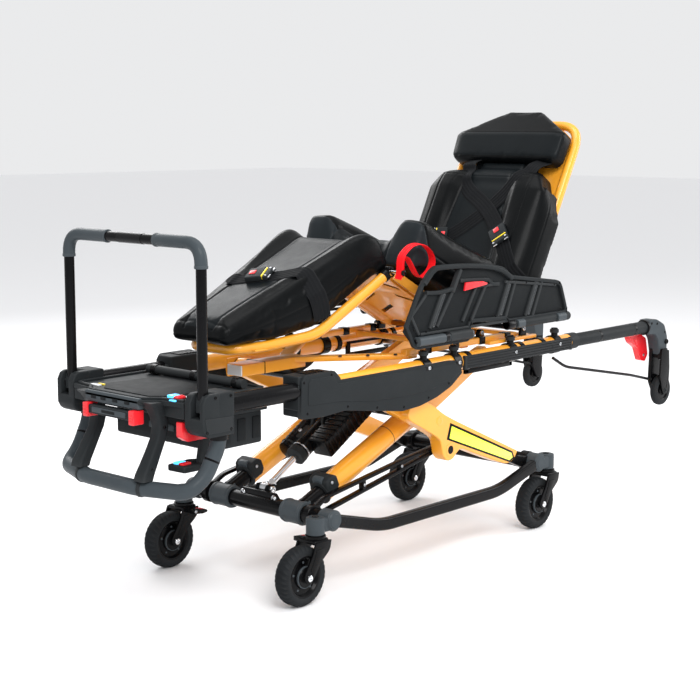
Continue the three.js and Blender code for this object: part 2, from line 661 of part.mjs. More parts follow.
const LEG_TOP_ANGLE = Math.atan2(200, 436);
const STRAP_SLANT = 0.4;
function legStrap() {
  const shape = [[-142, -40], [-142, 6], [127, 6], [127, -40], [123, -40], [123, 1], [-138, 1], [-138, -40]];
  const slant = new THREE.Matrix4().makeShear(0, 0, -STRAP_SLANT, 0, 0, 0);
  return crossPlate(shape, -26, 26).transform(slant.elements);
}
place('leg_strap', legStrap(), WEBBING, [120, 0, 700 + 226 * Math.tan(LEG_TOP_ANGLE)], -LEG_TOP_ANGLE);

// ---- side guards --------------------------------------------------------
function guard(side) {
  const panel = [[408, 604], [362, 652], [426, 764], [478, 810], [505, 816], [718, 806], [790, 792], [832, 765],
    [1058, 735], [1076, 726], [1107, 648], [1120, 614], [813, 614], [806, 648], [645, 654], [643, 604]];
  const grip = [[452, 744], [500, 792], [590, 794], [563, 752]];
  const face = sidePlate(panel, side * (GUARD_Y - 5), side * (GUARD_Y + 6))
    .subtract(sidePlate(grip, side * 240, side * 300));
  const pods = join(
    box(408, 643, side * 258, side * 286, 604, 642),
    box(813, 1118, side * 258, side * 284, 614, 644));
  return join(face, pods);
}
for (const [sideName, side] of SIDES) {
  place(`side_guard_${sideName}`, guard(side), DARK);
  place(`guard_release_${sideName}`, sidePlate([[606, 742], [706, 752], [690, 762], [612, 764]],
    side * (GUARD_Y + 6 + GAP), side * (GUARD_Y + 14)), RED);
}

// ---- head section -------------------------------------------------------
function headTube(side) {
  const y = side * RAIL_Y;
  const tube = rod([1100, y, RAIL_Z], [HEAD_END_X, y, RAIL_Z], HEAD_TUBE_R, 16);
  const elbow = sidePlate([[1590, 519], [1590, 567], [1640, 567], [1690, 545], [1708, 500], [1704, 440],
    [1664, 440], [1650, 500]], side * 222, side * 266);
  const arm = sidePlate([[1660, 470], [1706, 470], [1712, 400], [1704, 318], [1676, 318], [1650, 360]],
    side * 228, side * 240);
  const axle = disc(LOAD_WHEEL, 6, side * 238, side * 268, 12);
  const brace = pipe([[1066, side * 256.5, 504], [1132, side * 256.5, 470], [1500, side * 256.5, 400],
    [1640, side * 239, 368], [1662, side * 236, 364]], 4.5, 18, 9, 6);
  return join(tube, elbow, arm, axle, brace);
}
for (const [sideName, side] of SIDES) {
  place(`head_tube_${sideName}`, headTube(side), DARK);
  place(`load_wheel_${sideName}`, wheel(LOAD_PROFILE, LOAD_WHEEL, side * 255), RUBBER);
}
place('head_latch', sidePlate([[1526, 500], [1548, 512], [1640, 452], [1650, 428], [1624, 424]], -206, -216), RED);

export default model;
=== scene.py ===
import math

import bmesh
import bpy
import numpy as np
from mathutils import Matrix, Vector
from mathutils.bvhtree import BVHTree


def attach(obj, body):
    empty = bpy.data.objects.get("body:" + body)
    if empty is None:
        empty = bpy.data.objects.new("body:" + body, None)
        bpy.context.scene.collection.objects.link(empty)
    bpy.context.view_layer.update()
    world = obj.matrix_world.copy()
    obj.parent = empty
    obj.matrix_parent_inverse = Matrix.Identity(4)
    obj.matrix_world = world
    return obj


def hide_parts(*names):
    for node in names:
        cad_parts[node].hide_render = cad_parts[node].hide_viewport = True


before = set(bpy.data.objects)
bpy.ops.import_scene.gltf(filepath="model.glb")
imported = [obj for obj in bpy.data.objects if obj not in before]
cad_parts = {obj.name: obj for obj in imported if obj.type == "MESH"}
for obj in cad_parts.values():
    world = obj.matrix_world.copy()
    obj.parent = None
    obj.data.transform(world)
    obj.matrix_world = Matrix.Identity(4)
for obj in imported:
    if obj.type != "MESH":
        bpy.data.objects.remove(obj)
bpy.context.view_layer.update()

# ---- camera and light -----------------------------------------------------
MM = 0.001
CENTRE_X = 665
CAMERA_AT = (-3.2356, -2.7461, 1.18)
CAMERA_TURN = math.radians(42.23)
CAMERA_DIP = math.radians(8.51)
CAMERA_ROLL = math.radians(0.11)
LENS, SENSOR = 76.73, 36
FAR = 60


def make_camera():
    data = bpy.data.cameras.new("camera")
    data.lens = LENS
    data.sensor_width = SENSOR
    data.clip_end = FAR
    camera = bpy.data.objects.new("camera", data)
    bpy.context.scene.collection.objects.link(camera)
    camera.location = CAMERA_AT
    level = math.cos(CAMERA_DIP)
    look = Vector((math.cos(CAMERA_TURN) * level, math.sin(CAMERA_TURN) * level, -math.sin(CAMERA_DIP)))
    turn = look.to_track_quat("-Z", "Y").to_matrix() @ Matrix.Rotation(CAMERA_ROLL, 3, "Z")
    camera.rotation_euler = turn.to_euler()
    bpy.context.scene.camera = camera


def area_light(name, at, aim, size, power):
    data = bpy.data.lights.new(name, "AREA")
    data.shape = "RECTANGLE"
    data.size, data.size_y = size
    data.energy = power
    lamp = bpy.data.objects.new(name, data)
    bpy.context.scene.collection.objects.link(lamp)
    lamp.location = at
    lamp.rotation_euler = (Vector(aim) - Vector(at)).to_track_quat("-Z", "Y").to_euler()


make_camera()
area_light("key", (-2.2, -3.4, 3.6), (0, 0, 0.6), (2.6, 2.0), 170)
area_light("side", (3.6, -2.2, 2.2), (0.2, 0, 0.6), (1.6, 2.4), 60)
area_light("back", (1.0, 3.8, 3.0), (0, 0, 0.7), (3.0, 1.6), 90)
area_light("top", (-0.2, -0.2, 4.2), (0, 0, 0), (3.2, 1.8), 60)

world = bpy.data.worlds.new("studio")
world.use_nodes = True
world.node_tree.nodes["Background"].inputs[0].default_value = (0.97, 0.975, 0.985, 1)
world.node_tree.nodes["Background"].inputs[1].default_value = 0.85
bpy.context.scene.world = world
bpy.context.scene.view_settings.view_transform = "Standard"

# ---- materials ------------------------------------------------------------
# colour, roughness, metal, coat, bump (height mm, size 1/m), mottle, wear
LOOKS = {
    "yellow": ((0.90, 0.37, 0.022), 0.34, 0.0, 0.5, (0.10, 900), 0.05, 0.10),
    "black": ((0.0025, 0.0025, 0.003), 0.24, 0.0, 0.06, (0.05, 700), 0.2, 0.05),
    "dark": ((0.017, 0.0195, 0.021), 0.50, 0.0, 0.0, (0.22, 1500), 0.08, 0.10),
    "panel": ((0.009, 0.0105, 0.0115), 0.58, 0.0, 0.0, (0.30, 1700), 0.08, 0.04),
    "grey": ((0.046, 0.056, 0.063), 0.42, 0.0, 0.05, (0.14, 1300), 0.08, 0.12),
    "rib": ((0.055, 0.060, 0.064), 0.5, 0.0, 0.0, (0.3, 900), 0.1, 0.2),
    "chrome": ((0.80, 0.81, 0.83), 0.12, 1.0, 0.0, (0.01, 600), 0.02, 0.0),
    "steel": ((0.52, 0.53, 0.55), 0.28, 1.0, 0.0, (0.03, 900), 0.08, 0.0),
    "tyre": ((0.013, 0.0145, 0.016), 0.72, 0.0, 0.0, (0.5, 420), 0.25, 0.25),
    "bumper": ((0.013, 0.0145, 0.016), 0.66, 0.0, 0.0, (0.2, 1100), 0.12, 0.12),
    "vinyl": ((0.0022, 0.0027, 0.0031), 0.36, 0.0, 0.02, (0.16, 1100), 0.12, 0.05),
    "vinyl_panel": ((0.0062, 0.0080, 0.0092), 0.40, 0.0, 0.02, (0.16, 1100), 0.12, 0.05),
    "vinyl_grey": ((0.013, 0.0165, 0.019), 0.42, 0.0, 0.02, (0.16, 1100), 0.1, 0.05),
    "webbing": ((0.0075, 0.008, 0.009), 0.75, 0.0, 0.0, (0.35, 900), 0.2, 0.1),
    "red": ((0.80, 0.012, 0.020), 0.38, 0.0, 0.2, (0.08, 900), 0.06, 0.05),
    "red_webbing": ((0.82, 0.010, 0.016), 0.55, 0.0, 0.0, (0.3, 900), 0.08, 0.08),
    "yellow_mark": ((0.95, 0.72, 0.02), 0.4, 0.0, 0.2, (0.03, 800), 0.04, 0.0),
    "reflector": ((0.78, 0.92, 0.03), 0.2, 0.0, 0.9, (0.15, 700), 0.05, 0.0),
    "white": ((0.78, 0.79, 0.80), 0.35, 0.0, 0.3, (0.03, 700), 0.04, 0.05),
    "blue": ((0.05, 0.42, 0.85), 0.25, 0.0, 0.5, (0.03, 700), 0.02, 0.0),
}
# Emission: the blue lamps give light; the reflector's glow is a painted reflection, as the strip gives no
# light of its own.
GLOW_LAMPS_AND_PAINTED_REFLECTION = {"blue": ((0.10, 0.55, 1.0), 1.6), "reflector": ((0.75, 0.95, 0.05), 0.25)}
WOVEN = {"webbing": 620.0, "red_webbing": 620.0}
LEATHER = {"vinyl", "vinyl_panel", "vinyl_grey"}
SHINY = {"yellow", "chrome", "steel", "red", "yellow_mark", "reflector", "white", "blue"}
MATT_SPECULAR, SHINY_SPECULAR = 0.08, 0.5
COAT_ROUGHNESS = 0.12
# Pointiness is 0.5 on a flat face and rises towards a convex edge.
WEAR_FROM, WEAR_TO = 0.53, 0.62
BROAD_SCALE, SMUDGE_SCALE = 9.0, 34.0
_materials = {}


def node(tree, kind, **values):
    made = tree.nodes.new(kind)
    for key, value in values.items():
        made.inputs[key.replace("_", " ")].default_value = value
    return made


def grain(tree, place, key, size):
    """The fine surface relief of a material, as a height from 0 to 1."""
    link = tree.links.new
    if key in WOVEN:
        waves = []
        for direction in ("X", "Z"):
            wave = tree.nodes.new("ShaderNodeTexWave")
            wave.bands_direction = direction
            wave.inputs["Scale"].default_value = WOVEN[key] / 6.28
            wave.inputs["Distortion"].default_value = 0.6
            link(place.outputs["Object"], wave.inputs["Vector"])
            waves.append(wave)
        mixed = tree.nodes.new("ShaderNodeMath")
        mixed.operation = "MULTIPLY"
        link(waves[0].outputs["Fac"], mixed.inputs[0])
        link(waves[1].outputs["Fac"], mixed.inputs[1])
        return mixed.outputs[0]
    if key in LEATHER:
        cells = node(tree, "ShaderNodeTexVoronoi", Scale=size * 0.45)
        cells.feature = "SMOOTH_F1"
        link(place.outputs["Object"], cells.inputs["Vector"])
        fine = node(tree, "ShaderNodeTexNoise", Scale=size * 0.9, Detail=3.0)
        link(place.outputs["Object"], fine.inputs["Vector"])
        mixed = tree.nodes.new("ShaderNodeMath")
        mixed.operation = "ADD"
        link(cells.outputs["Distance"], mixed.inputs[0])
        link(fine.outputs["Fac"], mixed.inputs[1])
        return mixed.outputs[0]
    fine = node(tree, "ShaderNodeTexNoise", Scale=float(size), Detail=3.0, Roughness=0.6)
    link(place.outputs["Object"], fine.inputs["Vector"])
    return fine.outputs["Fac"]


def material(key):
    if key in _materials:
        return _materials[key]
    colour, rough, metal, coat, (height, size), mottle, wear = LOOKS[key]
    made = bpy.data.materials.new("look_" + key)
    made.use_nodes = True
    tree = made.node_tree
    link = tree.links.new
    shader = tree.nodes["Principled BSDF"]
    shader.inputs["Metallic"].default_value = metal
    shader.inputs["Specular IOR Level"].default_value = SHINY_SPECULAR if key in SHINY else MATT_SPECULAR
    shader.inputs["Coat Weight"].default_value = coat
    shader.inputs["Coat Roughness"].default_value = COAT_ROUGHNESS
    # On the reflector this emission is a painted reflection, not a lamp.
    if key in GLOW_LAMPS_AND_PAINTED_REFLECTION:
        shader.inputs["Emission Color"].default_value = (*GLOW_LAMPS_AND_PAINTED_REFLECTION[key][0], 1)
        shader.inputs["Emission Strength"].default_value = GLOW_LAMPS_AND_PAINTED_REFLECTION[key][1]
    place = tree.nodes.new("ShaderNodeTexCoord")
    broad = node(tree, "ShaderNodeTexNoise", Scale=BROAD_SCALE, Detail=4.0, Roughness=0.6)
    link(place.outputs["Object"], broad.inputs["Vector"])
    shade = tree.nodes.new("ShaderNodeValToRGB")
    low = [c * (1 - mottle) for c in colour]
    high = [min(1, c * (1 + mottle)) for c in colour]
    shade.color_ramp.elements[0].position = 0.3
    shade.color_ramp.elements[0].color = (*low, 1)
    shade.color_ramp.elements[1].position = 0.7
    shade.color_ramp.elements[1].color = (*high, 1)
    link(broad.outputs["Fac"], shade.inputs["Fac"])
    # Edges are a little paler, where hands and straps rub them.
    edge = tree.nodes.new("ShaderNodeNewGeometry")
    rub = tree.nodes.new("ShaderNodeMapRange")
    rub.inputs["From Min"].default_value = WEAR_FROM
    rub.inputs["From Max"].default_value = WEAR_TO
    rub.inputs["To Max"].default_value = wear
    link(edge.outputs["Pointiness"], rub.inputs["Value"])
    worn = tree.nodes.new("ShaderNodeMix")
    worn.data_type = "RGBA"
    worn.inputs["B"].default_value = (*[min(1, c * 0.7 + 0.16) for c in colour], 1)
    link(rub.outputs["Result"], worn.inputs["Factor"])
    link(shade.outputs["Color"], worn.inputs["A"])
    link(worn.outputs["Result"], shader.inputs["Base Color"])
    dull = tree.nodes.new("ShaderNodeMapRange")
    dull.inputs["To Min"].default_value = max(0.03, rough - 0.07)
    dull.inputs["To Max"].default_value = rough + 0.09
    smudge = node(tree, "ShaderNodeTexNoise", Scale=SMUDGE_SCALE, Detail=5.0)
    link(place.outputs["Object"], smudge.inputs["Vector"])
    link(smudge.outputs["Fac"], dull.inputs["Value"])
    link(dull.outputs["Result"], shader.inputs["Roughness"])
    bump = tree.nodes.new("ShaderNodeBump")
    bump.inputs["Strength"].default_value = 0.5
    bump.inputs["Distance"].default_value = height * MM
    link(grain(tree, place, key, size), bump.inputs["Height"])
    link(bump.outputs["Normal"], shader.inputs["Normal"])
    _materials[key] = made
    return made


# ---- places ---------------------------------------------------------------
class Local:
    """A sub-part's own frame: millimetres from origin, turned about +Y."""

    def __init__(self, origin=(0, 0, 0), turn=0.0):
        shift = Matrix.Translation(Vector((origin[0] - CENTRE_X, origin[1], origin[2])) * MM)
        self.matrix = shift @ Matrix.Rotation(turn, 4, "Y") @ Matrix.Scale(MM, 4)


# The base's two cross tubes, the casters, the rails, the push bar and the load wheels.
BASE_FOOT, BASE_HEAD, BASE_Z = 103, 996, 200
CASTER_Y, AXLE_Z = 247, 76
RAIL_Y, RAIL_Z = 245, 543
PUSH_X, PUSH_Y, PUSH_TOP = -312, 242, 920
LOAD_X, LOAD_Z = 1690, 328
# Along each leg: the middle shaft and the top pin. Across: leg B's inner and outer faces.
LEG_LOWER, LEG_REACH = 486, 822
LEG_B_IN, LEG_B_OUT = 205, 245.5
LEG_ANGLE = math.radians(23.3)
BACK_ANGLE = math.radians(61.5)
RAM_EYE = (433, 78)
ROD_PIN = (125, 236)
RAM_RUN = (BASE_FOOT + RAM_EYE[0] * math.cos(LEG_ANGLE) - RAM_EYE[1] * math.sin(LEG_ANGLE)
           - ROD_PIN[0])
RAM_RISE = (BASE_Z + RAM_EYE[0] * math.sin(LEG_ANGLE) + RAM_EYE[1] * math.cos(LEG_ANGLE)
            - ROD_PIN[1])
RAM_LENGTH = math.hypot(RAM_RUN, RAM_RISE)
THIGH_LENGTH = math.hypot(370, 200)
LEG_TOP_ANGLE = math.atan2(200, 436)
LEG_TOP_NORMAL = Vector((-math.sin(LEG_TOP_ANGLE), 0, math.cos(LEG_TOP_ANGLE)))
FIT = Local()
LEG_A = Local((BASE_FOOT, 0, BASE_Z), -LEG_ANGLE)
LEG_B = Local((BASE_HEAD, 0, BASE_Z), LEG_ANGLE)
RAM = Local((ROD_PIN[0], 0, ROD_PIN[1]), -math.atan2(RAM_RISE, RAM_RUN))
BACK = Local((958, 0, 600), -BACK_ANGLE)
THIGH = Local((800, 0, 600), math.atan2(200, 370))
SIDES = (("left", -1), ("right", 1))


# ---- mesh code ------------------------------------------------------------
def round_path(points, bend, steps=8):
    """Straight runs through points, with each corner rounded over bend mm."""
    corners = [Vector(p) for p in points]
    path = [corners[0]]
    for before, here, after in zip(corners, corners[1:], corners[2:]):
        enter = here + (before - here).normalized() * bend
        leave = here + (after - here).normalized() * bend
        for i in range(steps + 1):
            t = i / steps
            path.append(enter * (1 - t) ** 2 + here * 2 * t * (1 - t) + leave * t * t)
    path.append(corners[-1])
    return path


def smooth_path(points, steps=10):
    """A Catmull-Rom curve through points."""
    p = [Vector(q) for q in points]
    p = [p[0] * 2 - p[1]] + p + [p[-1] * 2 - p[-2]]
    path = []
    for a, b, c, d in zip(p, p[1:], p[2:], p[3:]):
        for i in range(steps):
            t = i / steps
            path.append(0.5 * (2 * b + (c - a) * t + (2 * a - 5 * b + 4 * c - d) * t * t
                               + (3 * b - a - 3 * c + d) * t ** 3))
    path.append(p[-2])
    return path


def outline(points, bend, steps=4):
    """A closed outline of (x, z) points with each corner rounded over bend mm."""
    loop = [(x, 0, z) for x, z in points + points[:2]]
    return [(q.x, q.z) for q in round_path(loop, bend, steps)[steps + 1:-1]]


def curved(points, steps=5):
    """(x, z) points along a curve through the given ones."""
    return [(q.x, q.z) for q in smooth_path([(x, 0, z) for x, z in points], steps)]


def circle(radius, sides):
    return [(radius * math.cos(2 * math.pi * i / sides), radius * math.sin(2 * math.pi * i / sides))
            for i in range(sides)]


def rounded_rect(width, height, corner, steps=4):
    points = []
    for cx, cy, start in ((1, 1, 0), (-1, 1, 90), (-1, -1, 180), (1, -1, 270)):
        for i in range(steps + 1):
            turn = math.radians(start + 90 * i / steps)
            points.append((cx * (width / 2 - corner) + corner * math.cos(turn),
                           cy * (height / 2 - corner) + corner * math.sin(turn)))
    return points


def bevel(bm, width, segments):
    edges = [e for e in bm.edges if len(e.link_faces) == 2 and e.calc_face_angle(0) > 0.45]
    if width and edges:
        bmesh.ops.bevel(bm, geom=edges, offset=width, segments=segments, profile=0.6,
                        affect="EDGES", clamp_overlap=True)


def rings_to_bm(rings, closed=False):
    bm = bmesh.new()
    made = [[bm.verts.new(p) for p in ring] for ring in rings]
    pairs = list(zip(made, made[1:]))
    if closed:
        pairs.append((made[-1], made[0]))
    count = len(made[0])
    for a, b in pairs:
        for i in range(count):
            j = (i + 1) % count
            bm.faces.new((a[i], a[j], b[j], b[i]))
    if not closed:
        bm.faces.new(made[0][::-1])
        bm.faces.new(made[-1])
    bmesh.ops.recalc_face_normals(bm, faces=bm.faces)
    return bm


class Piece:
    """One visible piece, built from joined shapes and ridden on a CAD body."""

    def __init__(self, name, body, slot, nodes=(), local=FIT):
        self.name, self.body, self.slot, self.nodes = name, body, slot, nodes
        self.local = local
        self.bm = bmesh.new()
        self.keys = []

    def add(self, bm, look=None, round_by=0.0, segments=2, local=None):
        bevel(bm, round_by, segments)
        key = look or self.slot
        if key not in self.keys:
            self.keys.append(key)
        index = self.keys.index(key)
        for face in bm.faces:
            face.material_index = index
            face.smooth = True
        bm.transform((local or self.local).matrix)
        scratch = bpy.data.meshes.new("scratch")
        bm.to_mesh(scratch)
        bm.free()
        self.bm.from_mesh(scratch)
        bpy.data.meshes.remove(scratch)
        return self

    def prism(self, points, plane, a, b, look=None, round_by=2.0, segments=2, local=None):
        a, b = min(a, b), max(a, b)
        spot = {"side": lambda p, q, d: (p, d, q), "floor": lambda p, q, d: (p, q, d),
                "cross": lambda p, q, d: (d, p, q)}[plane]
        rings = [[spot(p, q, d) for p, q in points] for d in (a, b)]
        return self.add(rings_to_bm(rings), look, round_by, segments, local)

    def side(self, points, ya, yb, look=None, round_by=2.0, **more):
        return self.prism(points, "side", ya, yb, look, round_by, **more)

    def floor(self, points, za, zb, look=None, round_by=2.0, **more):
        return self.prism(points, "floor", za, zb, look, round_by, **more)

    def cross(self, points, xa, xb, look=None, round_by=2.0, **more):
        return self.prism(points, "cross", xa, xb, look, round_by, **more)

    def box(self, xa, xb, ya, yb, za, zb, look=None, round_by=2.0, **more):
        return self.floor([(xa, ya), (xb, ya), (xb, yb), (xa, yb)], za, zb, look, round_by, **more)

    def sweep(self, path, section, look=None, up=None, normals=None, closed=False, local=None):
        path = [Vector(p) for p in path]
        count = len(path)
        rings = []
        side = None
        for i, point in enumerate(path):
            before = path[(i - 1) % count if closed else max(i - 1, 0)]
            after = path[(i + 1) % count if closed else min(i + 1, count - 1)]
            along = (after - before).normalized()
            if normals:
                out = Vector(normals[i])
            elif up:
                out = Vector(up)
            else:
                out = side or along.orthogonal()
            out = (out - along * out.dot(along)).normalized()
            side = out
            across = along.cross(out)
            rings.append([point + out * v + across * u for u, v in section])
        return self.add(rings_to_bm(rings, closed), look, 0.0, local=local)

    def tube(self, points, radius, bend=0, look=None, sides=28, local=None):
        path = round_path(points, bend) if bend else [Vector(p) for p in points]
        return self.sweep(path, circle(radius, sides), look, local=local)

    def rod(self, a, b, radius, look=None, sides=32, round_by=1.2, local=None):
        a, b = Vector(a), Vector(b)
        along = (b - a).normalized()
        out = along.orthogonal().normalized()
        across = along.cross(out)
        rings = [[p + out * v + across * u for u, v in circle(radius, sides)] for p in (a, b)]
        return self.add(rings_to_bm(rings), look, round_by, local=local)

    def disc(self, centre, radius, ya, yb, look=None, sides=40, round_by=1.2, local=None):
        return self.rod((centre[0], ya, centre[1]), (centre[0], yb, centre[1]), radius, look, sides,
                        round_by, local)

    def turned(self, profile, at, axis, look=None, sides=40, shape=None, local=None):
        """A profile of (radius, height) points turned about axis through at."""
        axis = Vector(axis).normalized()
        out = axis.orthogonal().normalized()
        across = axis.cross(out)
        bm = bmesh.new()
        rings = []
        for i in range(sides):
            turn = 2 * math.pi * i / sides
            way = out * math.cos(turn) + across * math.sin(turn)
            ring = []
            for radius, height in profile:
                r = shape(radius, height, turn) if shape else radius
                ring.append(bm.verts.new(Vector(at) + way * r + axis * height))
            rings.append(ring)
        closed_loop = profile[0][0] > 0 and profile[-1][0] > 0
        count = len(profile)
        for i in range(sides):
            a, b = rings[i], rings[(i + 1) % sides]
            for k in range(count if closed_loop else count - 1):
                j = (k + 1) % count
                bm.faces.new((a[k], b[k], b[j], a[j]))
        bmesh.ops.remove_doubles(bm, verts=bm.verts, dist=1e-4)
        bmesh.ops.recalc_face_normals(bm, faces=bm.faces)
        return self.add(bm, look, 0.0, local=local)

    def bolt(self, at, axis, radius, height, look="steel", local=None):
        """A button-head screw with a socket."""
        r, h = radius, height
        profile = [(0, h * 0.35), (r * 0.42, h * 0.35), (r * 0.48, h), (r * 0.75, h * 0.93),
                   (r * 0.95, h * 0.6),
                   (r, h * 0.2), (r, -h * 0.4), (0, -h * 0.4)]
        return self.turned(profile, at, axis, look, 20, local=local)

    def ring(self, a, b, inner, outer, look=None, sides=36, local=None):
        """A collar on a tube, from point a to point b."""
        a, b = Vector(a), Vector(b)
        h = (b - a).length
        c = min(1.2, h / 4)
        profile = [(inner, 0), (outer - c, 0), (outer, c), (outer, h - c), (outer - c, h), (inner, h)]
        return self.turned(profile, a, b - a, look, sides, local=local)

    def from_node(self, name, look=None, round_by=1.5, segments=2):
        """The CAD solid with its flat faces merged and its edges rounded."""
        bm = bmesh.new()
        bm.from_mesh(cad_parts[name].data)
        bm.transform(FIT.matrix.inverted())
        bmesh.ops.remove_doubles(bm, verts=bm.verts, dist=0.02)
        bmesh.ops.dissolve_limit(bm, angle_limit=math.radians(1.0), verts=bm.verts, edges=bm.edges)
        return self.add(bm, look, round_by, segments, local=FIT)

    def done(self, sharp=35):
        mesh = bpy.data.meshes.new(self.name)
        self.bm.to_mesh(mesh)
        self.bm.free()
        for key in self.keys:
            mesh.materials.append(material(key))
        mesh.set_sharp_from_angle(angle=math.radians(sharp))
        made = bpy.data.objects.new(self.name, mesh)
        bpy.context.scene.collection.objects.link(made)
        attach(made, self.body)
        if self.nodes:
            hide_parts(*self.nodes)


# ---- base and casters -----------------------------------------------------
def base():
    p = Piece("base_weldment", "base", "black", ["base_frame"])
    for x in (BASE_FOOT, BASE_HEAD):
        p.disc((x, BASE_Z), 22.5, -262, 262)
    for _, side in SIDES:
        line = round_path([(BASE_FOOT, side * 258, BASE_Z), (296, side * 258, 149), (804, side * 258, 149),
                           (BASE_HEAD, side * 258, BASE_Z)], 45)
        p.sweep(line, rounded_rect(22, 33, 6), up=(0, 0, 1))
        for swivel, tube_x in ((55, BASE_FOOT), (1055, BASE_HEAD)):
            y = side * 250
            p.rod((swivel, side * CASTER_Y, 171.5), (swivel, side * CASTER_Y, 216), 24, "grey", round_by=4)
            p.box(min(swivel, tube_x), max(swivel, tube_x), y - 17, y + 17, 176, 213, "grey", 7, segments=3)
            p.rod((swivel, side * CASTER_Y, 214), (swivel, side * CASTER_Y, 219), 9, "dark", sides=6)
            p.ring((tube_x, side * 230, BASE_Z), (tube_x, side * 268, BASE_Z), 20, 27, "grey")
            p.turned([(0, 5.5), (17, 5.5), (19, 4), (21, 4), (24, 1), (24, -6), (0, -6)],
                     (tube_x, side * 268, BASE_Z), (0, side, 0), "grey")
        p.side([(100, 205), (140, 226), (140, 248), (112, 250), (100, 232)], side * 14, side * 22)
    p.cross([(-88, 205), (88, 205), (60, 236), (-60, 236)], 98, 108, round_by=3)
    for y in (-80, 80):
        p.bolt((98, y * 0.72, 222), (-1, 0, 0), 9, 5)
    p.rod((125, -26, 236), (125, 26, 236), 6.2, "chrome")
    for _, side in SIDES:
        p.bolt((125, side * 24, 236), (0, side, 0), 10, 5, "chrome")
    p.done()


def tread(radius, height, turn):
    """Worn cross grooves in a tyre's tread."""
    if radius < 69:
        return radius
    wave = math.sin(34 * turn + 0.16 * abs(height) + 0.5 * math.sin(5 * turn))
    return radius - 1.7 * max(0.0, wave) ** 3


def caster(end, side_name, swivel, side):
    y = side * CASTER_Y
    axle = swivel - 55
    p = Piece(f"caster_yoke_{end}_{side_name}", f"fork_{end}_{side_name}", "black",
              [f"caster_fork_{end}_{side_name}"])
    p.rod((swivel, y, 157), (swivel, y, 170.8), 27, round_by=3)
    p.floor([(swivel - 32, y - 30), (swivel + 14, y - 33), (swivel + 25, y - 20), (swivel + 25, y + 20),
             (swivel + 14, y + 33), (swivel - 32, y + 30)], 153, 163, round_by=4, segments=3)
    shape = curved([(swivel - 31, 160), (swivel - 45, 128), (axle - 15, 88), (axle - 15, 72),
                         (axle, 61), (axle + 15, 72), (swivel - 14, 108), (swivel + 16, 134),
                         (swivel + 24, 160)])
    for out in (-1, 1):
        p.side(shape, y + out * 28, y + out * 34, round_by=1.6)
        p.side([(q[0] * 0.5 + (axle + 27) * 0.5, q[1] * 0.62 + 44) for q in shape], y + out * 33.5,
               y + out * 35.5, round_by=1.0)
        p.bolt((axle, y + out * 34, AXLE_Z), (0, out, 0), 8.5, 4.5, "chrome")
        p.ring((axle, y + out * 26, AXLE_Z), (axle, y + out * 29, AXLE_Z), 5, 12, "steel")
    p.done()
    w = Piece(f"caster_tyre_{end}_{side_name}", f"wheel_{end}_{side_name}", "tyre",
              [f"caster_wheel_{end}_{side_name}"])
    rubber = [(52, -14), (54, -19), (60, -21.5), (66, -21), (71.5, -18), (74.8, -13), (76, -7), (76, 0),
              (76, 7),
              (74.8, 13), (71.5, 18), (66, 21), (60, 21.5), (54, 19), (52, 14)]
    w.turned(rubber, (axle, y, AXLE_Z), (0, 1, 0), sides=204, shape=tread)
    rim = [(6.8, -22), (24, -22), (27, -19), (30, -12), (44, -11), (49, -17), (53, -18), (53, 18), (49, 17),
           (44, 11), (30, 12), (27, 19), (24, 22), (6.8, 22)]
    w.turned(rim, (axle, y, AXLE_Z), (0, 1, 0), "black", sides=48)
    for out in (-1, 1):
        w.ring((axle, y + out * 12, AXLE_Z), (axle, y + out * 20.5, AXLE_Z), 26, 28.5, "grey")
        for i in range(5):
            turn = math.radians(72 * i + 20)
            w.turned([(0, 1.6), (2.6, 1.6), (3.4, 0), (0, 0)],
                     (axle + 37 * math.cos(turn), y + out * 11.2, AXLE_Z + 37 * math.sin(turn)), (0, out,
                                                                                                  0),
                     "grey", 14)
    w.done()


def pedal(side_name, side):
    p = Piece(f"brake_tread_{side_name}", f"pedal_{side_name}", "black", [f"brake_pedal_{side_name}"])
    inboard = side * 212.6
    p.side([(38, 160), (60, 158), (84, 154), (88, 149), (86, 146), (70, 144), (38, 148)], inboard,
           inboard - side * 26, round_by=2.4)
    for x in (62, 69, 76):
        p.box(x, x + 3, inboard - side * 23, inboard - side * 3, 153, 158.2 - (x - 62) * 0.16, "red", 0.8)
    p.bolt((45, inboard - side * 25.5, 154), (0, -side, 0), 4.5, 2)
    p.done()


